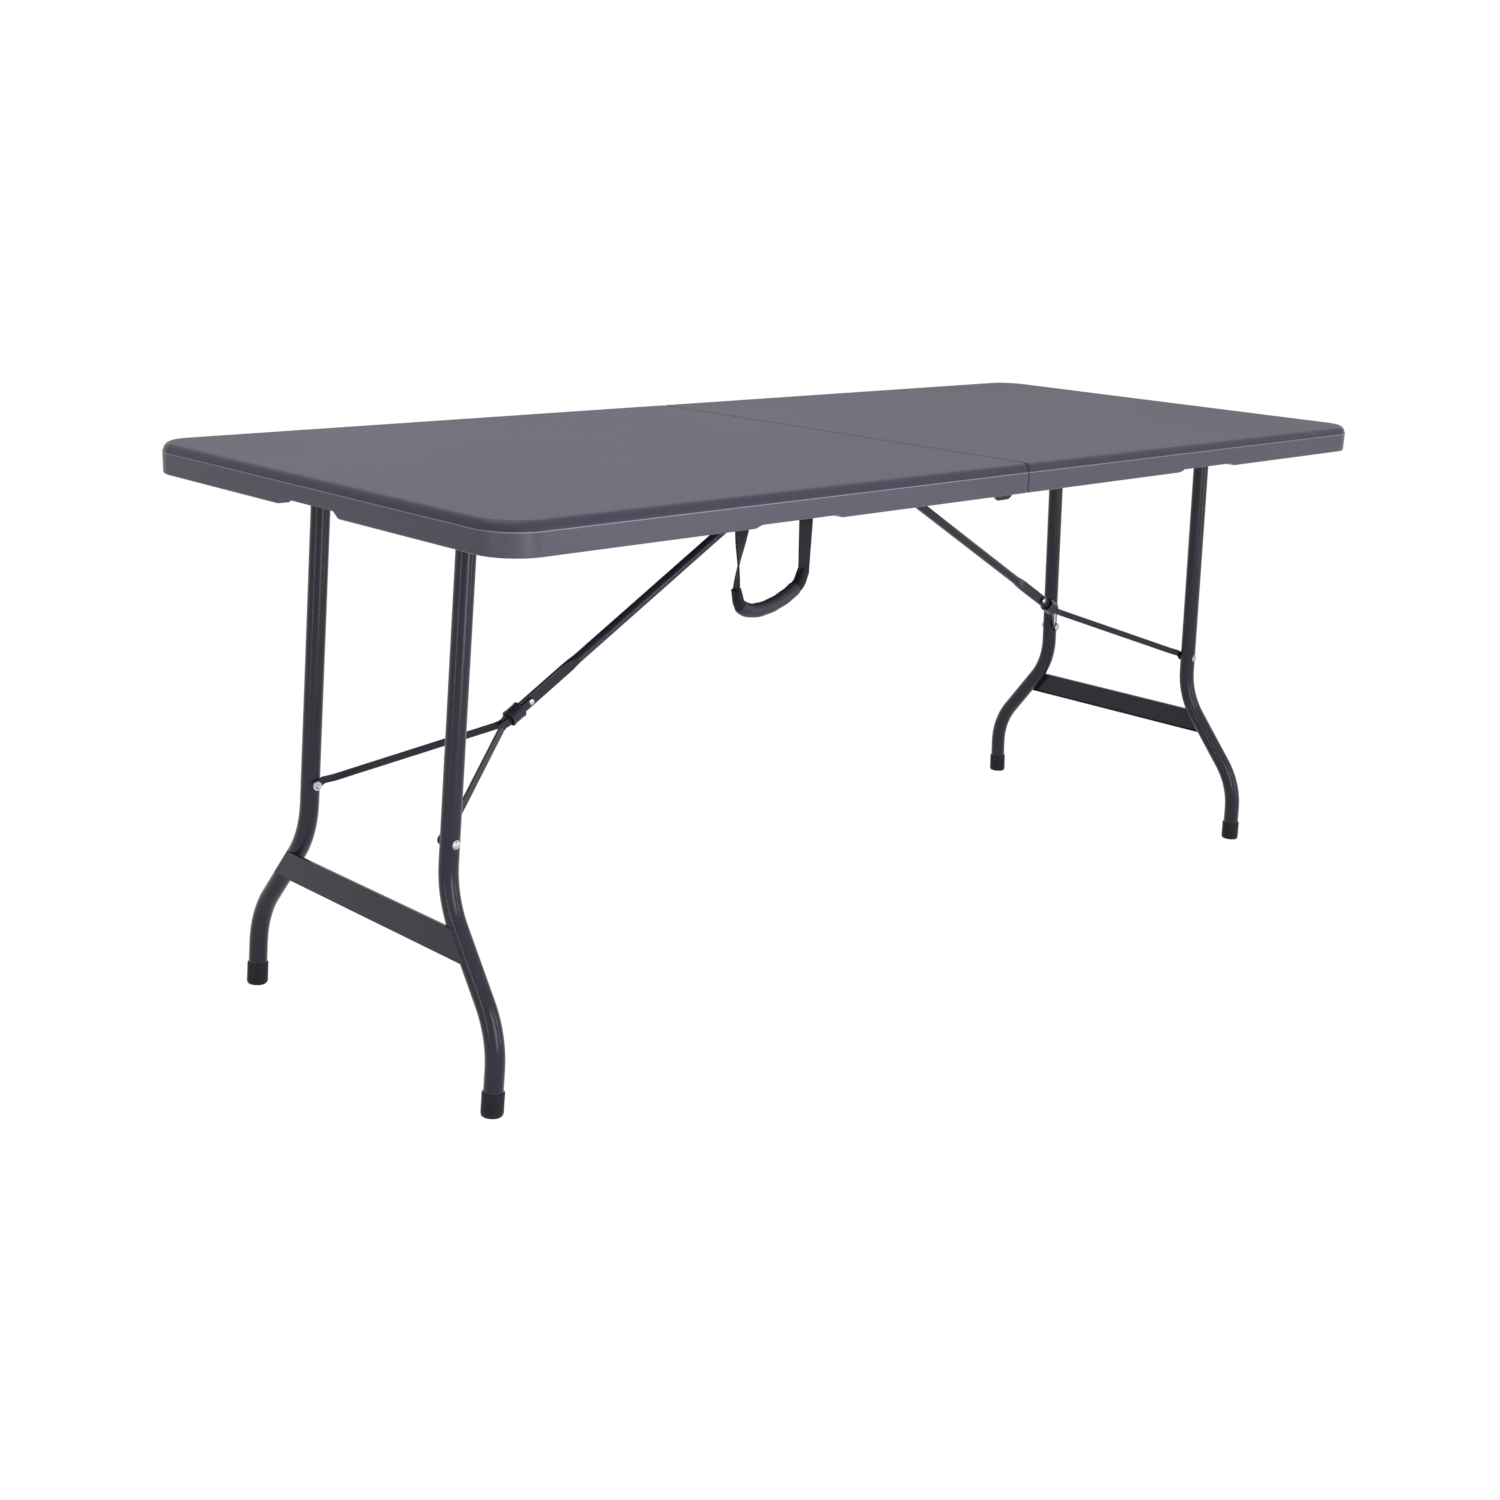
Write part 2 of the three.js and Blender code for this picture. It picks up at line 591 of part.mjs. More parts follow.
/** Shallow channel between the legs, coped round both tubes. */
function crossbar() {
  const middle = onLeg(CROSSBAR_HEIGHT_ABOVE_FLOOR);
  const slope = (LEG_FOOT_Y - LEG_TOP_Y) / (onLeg(LEG_BEND_LOW) - onLeg(LEG_BEND_HIGH));
  const halfAt = (drop) => LEG_TOP_Y + slope * (drop - onLeg(LEG_BEND_HIGH)) + CROSSBAR_OVERLAP;
  const [top, foot] = [middle - CROSSBAR_DEPTH / 2, middle + CROSSBAR_DEPTH / 2];
  const ring = (x, trim) => [
    new THREE.Vector3(x, -halfAt(top + trim), -top - trim),
    new THREE.Vector3(x, halfAt(top + trim), -top - trim),
    new THREE.Vector3(x, halfAt(foot - trim), -foot + trim),
    new THREE.Vector3(x, -halfAt(foot - trim), -foot + trim),
  ];
  const face = CROSSBAR_OFFSET + CROSSBAR_THICKNESS;
  let body = solid(skin([ring(CROSSBAR_OFFSET, 0), ring(face, 0)]));
  const hollow = solid(skin([
    ring(CROSSBAR_OFFSET - 1, CROSSBAR_STEEL),
    ring(face - CROSSBAR_STEEL, CROSSBAR_STEEL),
  ]));
  body = body.subtract(hollow);
  for (const side of [-1, 1]) {
    body = body.subtract(solid(skin(legRings(LEG_RADIUS + FIT, side, LEG_REACH))));
  }
  return body;
}

/** Rubber cap on a leg's end, its sole cut level with the floor. */
function foot(side) {
  const radius = (LEG_RADIUS + FIT) / Math.cos(Math.PI / SEGMENTS);
  const cup = turned([
    [0, -2],
    [FOOT_RADIUS - FOOT_CHAMFER, -2],
    [FOOT_RADIUS, FOOT_CHAMFER],
    [FOOT_RADIUS, FOOT_HEIGHT - 1],
    [FOOT_RADIUS - 0.7, FOOT_HEIGHT],
    [radius, FOOT_HEIGHT],
    [radius, FOOT_SOLE],
    [0, FOOT_SOLE],
  ]).translate([0, side * LEG_FOOT_Y, -LEG_REACH]);
  const floor = new THREE.BoxGeometry(80, 80, 40);
  floor.rotateY(LEG_SPLAY);
  const down = new THREE.Vector3(Math.sin(-LEG_SPLAY), 0, -Math.cos(LEG_SPLAY)).multiplyScalar(20);
  floor.translate(down.x, side * LEG_FOOT_Y, down.z - LEG_REACH);
  return cup.subtract(solid(floor));
}

/** Domed bolt through a leg: the head is on the outer face. */
function legBolt(side) {
  const seat = LEG_TOP_Y + LEG_RADIUS + FIT;
  const inner = LEG_TOP_Y - LEG_RADIUS;
  const bolt = turned([
    [0, inner],
    [BOLT_RADIUS, inner],
    [BOLT_RADIUS, seat],
    [BOLT_HEAD_RADIUS, seat],
    [BOLT_HEAD_RADIUS * 0.92, seat + BOLT_HEAD * 0.45],
    [BOLT_HEAD_RADIUS * 0.6, seat + BOLT_HEAD * 0.85],
    [0, seat + BOLT_HEAD],
  ], 12);
  return bolt.rotate([side > 0 ? -90 : 90, 0, 0]).translate([0, 0, -BOLT_DROP]);
}

// ---------------------------------------------------------------- brace
/** Brace arm along +X from its eye on the cross tube to a flat tongue past the rivet. */
function braceArm() {
  const up = new THREE.Vector3(0, 0, 1);
  const across = new THREE.Vector3(0, 1, 0);
  const round = (x) => ringAt(new THREE.Vector3(x, 0, 0), across, up, ARM_RADIUS);
  const flat = (x) => round(x).map((point) => new THREE.Vector3(
    x,
    THREE.MathUtils.clamp((TONGUE_SQUARENESS_Y * point.y) / ARM_RADIUS, -1, 1) * TONGUE_HALF_WIDTH,
    THREE.MathUtils.clamp((TONGUE_SQUARENESS_Z * point.z) / ARM_RADIUS, -1, 1) * TONGUE_HALF_HEIGHT,
  ));
  const flare = ARM_LENGTH - TONGUE_START - TONGUE_FLARE;
  let body = solid(skin([
    round(0),
    round(flare),
    flat(ARM_LENGTH - TONGUE_START),
    flat(ARM_LENGTH + TONGUE_PAST_RIVET),
  ]));
  body = body.add(barY(BRACE_EYE_RADIUS, -BRACE_EYE_LENGTH / 2, BRACE_EYE_LENGTH / 2));
  body = body.subtract(barX(ARM_RADIUS - ARM_WALL, 0, flare - 2));
  body = body.subtract(barY(BRACE_TUBE_RADIUS + FIT, -BRACE_EYE_LENGTH, BRACE_EYE_LENGTH));
  return body.subtract(barY(RIVET_RADIUS + FIT, -10, 10, ARM_LENGTH, 0, 10));
}

/** Rivet through the tongue and both rod necks. */
function braceRivet() {
  const seat = TONGUE_HALF_WIDTH + ROD_THICKNESS + 2 * FIT;
  return turned([
    [0, -seat - RIVET_HEAD],
    [RIVET_HEAD_RADIUS * 0.7, -seat - RIVET_HEAD],
    [RIVET_HEAD_RADIUS, -seat],
    [RIVET_RADIUS, -seat],
    [RIVET_RADIUS, seat],
    [RIVET_HEAD_RADIUS, seat],
    [RIVET_HEAD_RADIUS * 0.7, seat + RIVET_HEAD],
    [0, seat + RIVET_HEAD],
  ], 10).rotate([90, 0, 0]).translate([ARM_LENGTH, 0, 0]);
}

/** Lock ring that slides along the arm and the necks. */
function lockRing() {
  const bore = LOCK_BORE_RADIUS;
  const outer = bore + LOCK_WALL;
  const half = LOCK_LENGTH / 2;
  return turned([
    [bore, -half],
    [outer - LOCK_CHAMFER, -half],
    [outer, LOCK_CHAMFER - half],
    [outer, half - LOCK_CHAMFER],
    [outer - LOCK_CHAMFER, half],
    [bore, half],
    [bore, -half],
  ]).rotate([0, 90, 0]).translate([ARM_LENGTH + LOCK_FROM_RIVET, 0, 0]);
}

/** Where a rod's end lies, in the rods' own frame: X along the arm, origin on the rivet. */
const rodTilt = ARM_ANGLE - ROD_ANGLE;
const rodEnd = new THREE.Vector3(
  ROD_LENGTH * Math.cos(rodTilt),
  LEG_TOP_Y - LEG_RADIUS - ROD_LEG_GAP - ROD_THICKNESS / 2,
  ROD_LENGTH * Math.sin(rodTilt),
);

/** Flat rod: neck beside the tongue, then out to one leg, with an eye at each end. */
function braceRod(side) {
  const neckY = TONGUE_HALF_WIDTH + FIT + ROD_THICKNESS / 2;
  const line = [
    new THREE.Vector3(0, neckY, 0),
    new THREE.Vector3(NECK_LENGTH, neckY, 0),
    new THREE.Vector3(NECK_LENGTH + NECK_BEND, neckY + NECK_BEND_OUT, NECK_BEND_UP),
    new THREE.Vector3(rodEnd.x - 2 * ROD_TOE, rodEnd.y - ROD_TOE_OUT, rodEnd.z - ROD_TOE_UP),
    new THREE.Vector3(rodEnd.x - ROD_TOE, rodEnd.y, rodEnd.z),
    rodEnd,
  ];
  const rings = line.map((point, i) => {
    const before = line[Math.max(i - 1, 0)];
    const after = line[Math.min(i + 1, line.length - 1)];
    const ahead = new THREE.Vector2(point.x - before.x, point.y - before.y);
    const next = new THREE.Vector2(after.x - point.x, after.y - point.y);
    const along = ahead.lengthSq() > 0 ? ahead.normalize() : next.clone().normalize();
    const mean = next.lengthSq() > 0 ? along.clone().add(next.normalize()).normalize() : along;
    const half = ROD_THICKNESS / 2 / Math.abs(mean.dot(along));
    const out = new THREE.Vector3(-mean.y * half, mean.x * half, 0);
    const height = new THREE.Vector3(0, 0, ROD_HALF_HEIGHT);
    return [
      point.clone().sub(out).sub(height),
      point.clone().add(out).sub(height),
      point.clone().add(out).add(height),
      point.clone().sub(out).add(height),
    ];
  });
  let body = solid(skin(rings));
  const [neckIn, neckOut] = [neckY - ROD_THICKNESS / 2, neckY + ROD_THICKNESS / 2];
  const [endIn, endOut] = [rodEnd.y - ROD_THICKNESS / 2, rodEnd.y + ROD_THICKNESS / 2];
  body = body.add(barY(ROD_EYE_RADIUS, neckIn, neckOut));
  body = body.add(barY(ROD_END_EYE_RADIUS, endIn, endOut, rodEnd.x, rodEnd.z));
  body = body.subtract(barY(RIVET_RADIUS + FIT, 0, neckOut + 5, 0, 0, 10));
  body = body.subtract(barY(EYELET_SHANK_RADIUS + FIT, endIn - 5, endOut + 5, rodEnd.x, rodEnd.z, 12));
  return side > 0 ? body : body.mirror([0, 1, 0]);
}

/** Bright eyelet in a rod's outer eye, its flange on the side away from the leg. */
function rodEyelet(side) {
  const back = rodEnd.y - ROD_THICKNESS / 2 - FIT;
  const front = rodEnd.y + ROD_THICKNESS / 2 + FIT;
  const eyelet = turned([
    [EYELET_BORE, back - EYELET_HEAD],
    [EYELET_RADIUS - EYELET_CROWN, back - EYELET_HEAD],
    [EYELET_RADIUS, back - EYELET_HEAD * 0.4],
    [EYELET_RADIUS, back],
    [EYELET_SHANK_RADIUS, back],
    [EYELET_SHANK_RADIUS, front],
    [0, front],
    [0, front - EYELET_BLIND],
    [EYELET_BORE, front - EYELET_BLIND],
    [EYELET_BORE, back - EYELET_HEAD],
  ], 14);
  return eyelet.rotate([side > 0 ? -90 : 90, 0, 0]).translate([rodEnd.x, 0, rodEnd.z]);
}

// ---------------------------------------------------------------- carry handle, origin on its pivot
/** Lug block under the panel with the pin that a strap end hangs on. */
function handleAnchor() {
  const halfGap = STRAP_WIDTH / 2 + FIT + ANCHOR_SIDE_PLAY;
  const top = HANDLE_PIVOT_DROP - FIT;
  const depth = ANCHOR_HALF_DEPTH;
  const foot = -ANCHOR_PIN_RADIUS - ANCHOR_BELOW_PIN;
  let body = box([-halfGap - ANCHOR_LUG, -depth, top - ANCHOR_BASE], [halfGap + ANCHOR_LUG, depth, top]);
  for (const x of [-halfGap - ANCHOR_LUG, halfGap]) {
    body = body.add(box([x, -depth, foot], [x + ANCHOR_LUG, depth, top]));
  }
  return body.add(barX(ANCHOR_PIN_RADIUS, -halfGap - 1, halfGap + 1, 0, 0, 12));
}

/** Flat strap end: an eye on the pin and a band that hangs from it, with a twist if asked. */
function strapBand(topX, lowX, lowZ, twist) {
  const half = STRAP_WIDTH / 2;
  const thin = STRAP_THICKNESS / 2;
  const steps = 8;
  const rings = Array.from({ length: steps + 1 }, (_, i) => {
    const t = i / steps;
    const angle = twist * t * t * (3 - 2 * t);
    const centre = new THREE.Vector3(topX + (lowX - topX) * t, 0, lowZ * t);
    const wide = new THREE.Vector3(Math.cos(angle), Math.sin(angle), 0);
    const deep = new THREE.Vector3(-Math.sin(angle), Math.cos(angle), 0);
    return [[-1, -1], [1, -1], [1, 1], [-1, 1]].map(([a, b]) => centre.clone()
      .addScaledVector(wide, a * half * (1 - STRAP_TAPER * t))
      .addScaledVector(deep, b * thin));
  });
  return solid(skin(rings)).add(barX(STRAP_EYE_RADIUS, topX - half, topX + half));
}

/** Centre line of the grip between the two bands. */
function gripCurve() {
  return new THREE.CatmullRomCurve3([
    new THREE.Vector3(HANDLE_LEFT_LOW, 0, -0.74 * GRIP_DROP),
    new THREE.Vector3(HANDLE_LEFT_LOW + 9, 0, -0.93 * GRIP_DROP),
    new THREE.Vector3(HANDLE_LEFT_LOW + 34, 0, -GRIP_DROP),
    new THREE.Vector3(HANDLE_LEFT_LOW + 72, 0, -0.95 * GRIP_DROP),
    new THREE.Vector3(HANDLE_RIGHT - 10, 0, -0.8 * GRIP_DROP),
    new THREE.Vector3(HANDLE_RIGHT, 0, -0.64 * GRIP_DROP),
  ]);
}

/** Rings of a round section along part of the grip's curve. */
function gripRings(radius, from, to, steps = 9) {
  const curve = gripCurve();
  return Array.from({ length: steps + 1 }, (_, i) => {
    const t = from + (to - from) * (i / steps);
    const along = curve.getTangentAt(t);
    const across = new THREE.Vector3(0, 1, 0);
    return ringAt(curve.getPointAt(t), across, along.clone().cross(across).normalize(), radius, radius, 10);
  });
}

/** One strap: band, core through the grip, band; hung on both anchor pins. */
function carryStrap() {
  let body = strapBand(HANDLE_LEFT, HANDLE_LEFT_LOW, -0.8 * GRIP_DROP, STRAP_TWIST);
  body = body.add(strapBand(HANDLE_RIGHT, HANDLE_RIGHT, -0.7 * GRIP_DROP, 0));
  body = body.add(solid(skin(gripRings(GRIP_CORE_RADIUS, 0, 1))));
  for (const x of [HANDLE_LEFT, HANDLE_RIGHT]) {
    body = body.subtract(barX(ANCHOR_PIN_RADIUS + FIT, x - STRAP_WIDTH, x + STRAP_WIDTH, 0, 0, 12));
  }
  return body;
}

/** Soft sleeve on the strap's core. */
function handleGrip() {
  const outer = gripRings(GRIP_RADIUS, GRIP_START, GRIP_END);
  const [from, to] = [GRIP_START - GRIP_BORE_PAST, GRIP_END + GRIP_BORE_PAST];
  const bore = gripRings(GRIP_CORE_RADIUS + GRIP_BORE_PLAY, from, to);
  const clear = carryStrap();
  return solid(skin(outer)).subtract(solid(skin(bore))).subtract(strapRelief(clear));
}

/** The strap fattened a little, to keep the sleeve clear of the bands. */
function strapRelief(strap) {
  const moves = [[0, FIT, 0], [0, -FIT, 0], [0, 0, FIT], [0, 0, -FIT]];
  return moves.reduce((body, move) => body.add(strap.translate(move)), strap);
}

// ---------------------------------------------------------------- assembly
const table = new THREE.Group();

for (const { label, turn } of [{ label: 'left', turn: Math.PI }, { label: 'right', turn: 0 }]) {
  // each half is built with its outer end towards +X and turned into place
  const half = new THREE.Group();
  half.rotation.z = turn;
  table.add(half);
  const flip = label === 'left' ? -1 : 1;
  const edges = [{ edge: 'front', y: -flip }, { edge: 'back', y: flip }];

  place(half, `tabletop_${label}`, topHalf(-flip), PLASTIC);
  for (const { edge, y } of edges) {
    place(half, `rail_${label}_${edge}`, rail(y), STEEL_PAINT);
    SCREW_STATIONS.forEach((x, i) => {
      const screw = place(half, `rail_screw_${label}_${edge}_${i + 1}`, railScrew(), BRIGHT_STEEL);
      screw.position.set(x, y * (RAIL_WEB_Y - RAIL_FLANGE / 2), RAIL_TOP - RAIL_STEEL - FIT);
    });
    const bush = place(half, `pivot_bush_${label}_${edge}`, pivotBush(), NYLON);
    bush.rotation.x = y > 0 ? -Math.PI / 2 : Math.PI / 2;
    bush.position.set(LEG_PIVOT_X, y * (RAIL_WEB_Y - FIT - BUSH_FLANGE_THICKNESS), LEG_PIVOT_Z);

    // plates lie on the web's outer face on the left half and on its inner face on the right
    const outside = label === 'left';
    const near = outside ? RAIL_OUTER_Y + FIT : RAIL_WEB_Y - FIT - HINGE_PLATE;
    const shape = hingePlate(outside ? HINGE_EYE_RADIUS : HINGE_EYE_RADIUS - 1, outside);
    const plate = plateY(shape, y * near, y * (near + HINGE_PLATE))
      .subtract(barY(HINGE_PIN_RADIUS + FIT, y * (near - 1), y * (near + HINGE_PLATE + 1), 0, HINGE_Z));
    place(half, `hinge_plate_${label}_${edge}`, plate, STEEL_PAINT);
    if (outside) {
      const seat = near + HINGE_PLATE + FIT;
      const tip = RAIL_WEB_Y - HINGE_PLATE - HINGE_PIN_TIP;
      const pin = barY(HINGE_PIN_RADIUS, y * tip, y * seat, 0, HINGE_Z)
        .add(barY(HINGE_PIN_HEAD_RADIUS, y * seat, y * (seat + HINGE_PIN_HEAD), 0, HINGE_Z));
      place(half, `hinge_pin_${edge}`, pin, BRIGHT_STEEL);
    }
  }
  const braceReach = RAIL_WEB_Y - FIT - (label === 'left' ? 0 : HINGE_PLATE + FIT);
  const braceTube = crossTube(BRACE_TUBE_RADIUS, BRACE_TUBE_WALL, braceReach);
  const brace = place(half, `brace_cross_tube_${label}`, braceTube, STEEL_PAINT);
  brace.position.set(BRACE_PIVOT_X, 0, BRACE_PIVOT_Z);

  const legs = new THREE.Group();
  legs.position.set(LEG_PIVOT_X, 0, LEG_PIVOT_Z);
  legs.rotation.y = -LEG_SPLAY;
  half.add(legs);
  const pivotReach = RAIL_OUTER_Y + PIVOT_TUBE_PAST_WEB;
  const pivotTube = crossTube(PIVOT_TUBE_RADIUS, PIVOT_TUBE_WALL, pivotReach);
  place(legs, `leg_pivot_tube_${label}`, pivotTube, STEEL_PAINT);
  place(legs, `leg_crossbar_${label}`, crossbar(), STEEL_PAINT);
  for (const { edge, y } of edges) {
    place(legs, `leg_${label}_${edge}`, leg(y), STEEL_PAINT);
    place(legs, `foot_${label}_${edge}`, foot(y), RUBBER);
    place(legs, `leg_bolt_${label}_${edge}`, legBolt(y), BRIGHT_STEEL);
  }

  const arm = new THREE.Group();
  arm.position.set(BRACE_PIVOT_X, 0, BRACE_PIVOT_Z);
  arm.rotation.y = ARM_ANGLE;
  half.add(arm);
  place(arm, `brace_arm_${label}`, braceArm(), STEEL_PAINT);
  place(arm, `brace_rivet_${label}`, braceRivet(), BRIGHT_STEEL);
  place(arm, `lock_ring_${label}`, lockRing(), STEEL_PAINT);

  const rods = new THREE.Group();
  rods.position.x = ARM_LENGTH;
  arm.add(rods);
  for (const { edge, y } of edges) {
    place(rods, `brace_rod_${label}_${edge}`, braceRod(y), STEEL_PAINT);
    place(rods, `brace_eyelet_${label}_${edge}`, rodEyelet(y), BRIGHT_STEEL);
  }
}

const handle = new THREE.Group();
handle.position.set(HANDLE_X, HANDLE_Y, PANEL_BOTTOM - HANDLE_PIVOT_DROP);
table.add(handle);
place(handle, 'carry_strap', carryStrap(), WEBBING);
place(handle, 'handle_grip', handleGrip(), GRIP_RUBBER);
for (const { label, x } of [{ label: 'outer', x: HANDLE_LEFT }, { label: 'inner', x: HANDLE_RIGHT }]) {
  const anchor = place(handle, `handle_anchor_${label}`, handleAnchor(), NYLON);
  anchor.position.x = x;
}

export default table;
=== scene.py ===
"""Looks of a fold-in-half banquet table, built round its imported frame. Metres, +Z up."""

import itertools
import json
import logging
import math
from collections.abc import Iterable, Mapping, Sequence
from dataclasses import dataclass, field
from enum import Enum
from functools import cache

import bmesh
import bpy
from mathutils import Matrix, Vector


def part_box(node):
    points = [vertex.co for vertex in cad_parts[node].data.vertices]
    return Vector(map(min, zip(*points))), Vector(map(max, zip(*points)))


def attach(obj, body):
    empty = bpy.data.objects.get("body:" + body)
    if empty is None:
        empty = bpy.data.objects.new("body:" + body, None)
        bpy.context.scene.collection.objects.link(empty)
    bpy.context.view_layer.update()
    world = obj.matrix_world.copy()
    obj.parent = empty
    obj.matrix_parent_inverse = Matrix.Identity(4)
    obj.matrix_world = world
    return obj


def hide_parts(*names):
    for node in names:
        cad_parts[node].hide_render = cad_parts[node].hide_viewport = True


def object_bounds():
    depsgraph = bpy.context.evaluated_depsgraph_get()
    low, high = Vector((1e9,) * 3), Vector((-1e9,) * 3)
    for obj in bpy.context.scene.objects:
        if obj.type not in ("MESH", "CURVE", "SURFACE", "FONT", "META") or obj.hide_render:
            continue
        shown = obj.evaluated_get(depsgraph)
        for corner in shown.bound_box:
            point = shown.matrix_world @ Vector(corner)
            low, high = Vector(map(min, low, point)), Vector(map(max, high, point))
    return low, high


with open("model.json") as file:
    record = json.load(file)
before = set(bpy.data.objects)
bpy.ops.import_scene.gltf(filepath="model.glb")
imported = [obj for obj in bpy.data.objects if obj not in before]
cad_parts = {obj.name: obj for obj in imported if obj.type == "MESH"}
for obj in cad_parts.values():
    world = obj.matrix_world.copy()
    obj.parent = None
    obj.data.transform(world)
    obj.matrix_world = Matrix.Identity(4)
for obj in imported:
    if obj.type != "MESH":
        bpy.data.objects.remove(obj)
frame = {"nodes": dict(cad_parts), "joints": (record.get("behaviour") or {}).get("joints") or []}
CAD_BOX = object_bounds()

LOG = logging.getLogger("folding_table")
MM = 0.001
TURN = 2 * math.pi
NOISE_ROUGHNESS = 0.55
EDGE_BEND = (0.01, 0.22)      # how far normals part where edge lightening begins and where it is full
SAME_POINT = 1e-6
CREASE = math.radians(32)     # edges sharper than this stay sharp, or get a bevel
WELD_RIPPLE = 0.16            # share of a bead's size
WELD_PITCH = 3.6              # steps from one ripple to the next
WHITE = (1, 1, 1, 1)

Pair = tuple[float, float]
Profile = Sequence[Pair]
Grain = tuple[float | tuple[float, ...], ...]  # a noise's scale, layers and stretch


class Side(Enum):
    """The two halves of the table; the value is the sign of X."""

    LEFT = -1
    RIGHT = 1

    @property
    def label(self) -> str:
        """Name used in the frame's node and body names."""
        return self.name.lower()

    @property
    def matrix(self) -> Matrix:
        """Turn from a half built towards +X to where this half is."""
        return Matrix.Rotation(math.pi if self is Side.LEFT else 0.0, 4, "Z")


class Edge(Enum):
    """The two long sides; the value is the sign of Y."""

    FRONT = -1
    BACK = 1

    @property
    def label(self) -> str:
        """Name used in the frame's node names."""
        return self.name.lower()

    def local(self, side: Side) -> int:
        """Sign of Y in the half's own axes.

        Args:
            side: The half that the edge is on.

        Returns:
            1 or -1.
        """
        return self.value * side.value


# ------------------------------------------------------------------ shader arithmetic


@dataclass(frozen=True)
class Wire:
    """An output socket; arithmetic on it adds Math nodes to its tree."""

    graph: "Graph"
    socket: bpy.types.NodeSocket

    def _math(self, operation: str, *terms: "Wire | float") -> "Wire":
        """Add one Math node over the terms."""
        return self.graph.node("ShaderNodeMath", {"operation": operation}, dict(enumerate(terms)))

    def __add__(self, other: "Wire | float") -> "Wire":
        """Sum."""
        return self._math("ADD", self, other)

    __radd__ = __add__

    def __sub__(self, other: "Wire | float") -> "Wire":
        """Difference."""
        return self._math("SUBTRACT", self, other)

    def __rsub__(self, other: "Wire | float") -> "Wire":
        """Difference from a plain number."""
        return self._math("SUBTRACT", other, self)

    def __mul__(self, other: "Wire | float") -> "Wire":
        """Product."""
        return self._math("MULTIPLY", self, other)

    __rmul__ = __mul__

    def sine(self) -> "Wire":
        """Sine of the value in radians."""
        return self._math("SINE", self)

    def size(self) -> "Wire":
        """Value without its sign."""
        return self._math("ABSOLUTE", self)

    def larger(self, other: "Wire | float") -> "Wire":
        """The larger of two values."""
        return self._math("MAXIMUM", self, other)

    def band(self, low: float, high: float) -> "Wire":
        """Smooth 0 to 1 step between two levels.

        Args:
            low: Level where the step leaves 0.
            high: Level where it reaches 1.

        Returns:
            The stepped value.
        """
        settings = {"interpolation_type": "SMOOTHSTEP"}
        inputs = {"Value": self, "From Min": low, "From Max": high}
        return self.graph.node("ShaderNodeMapRange", settings, inputs)


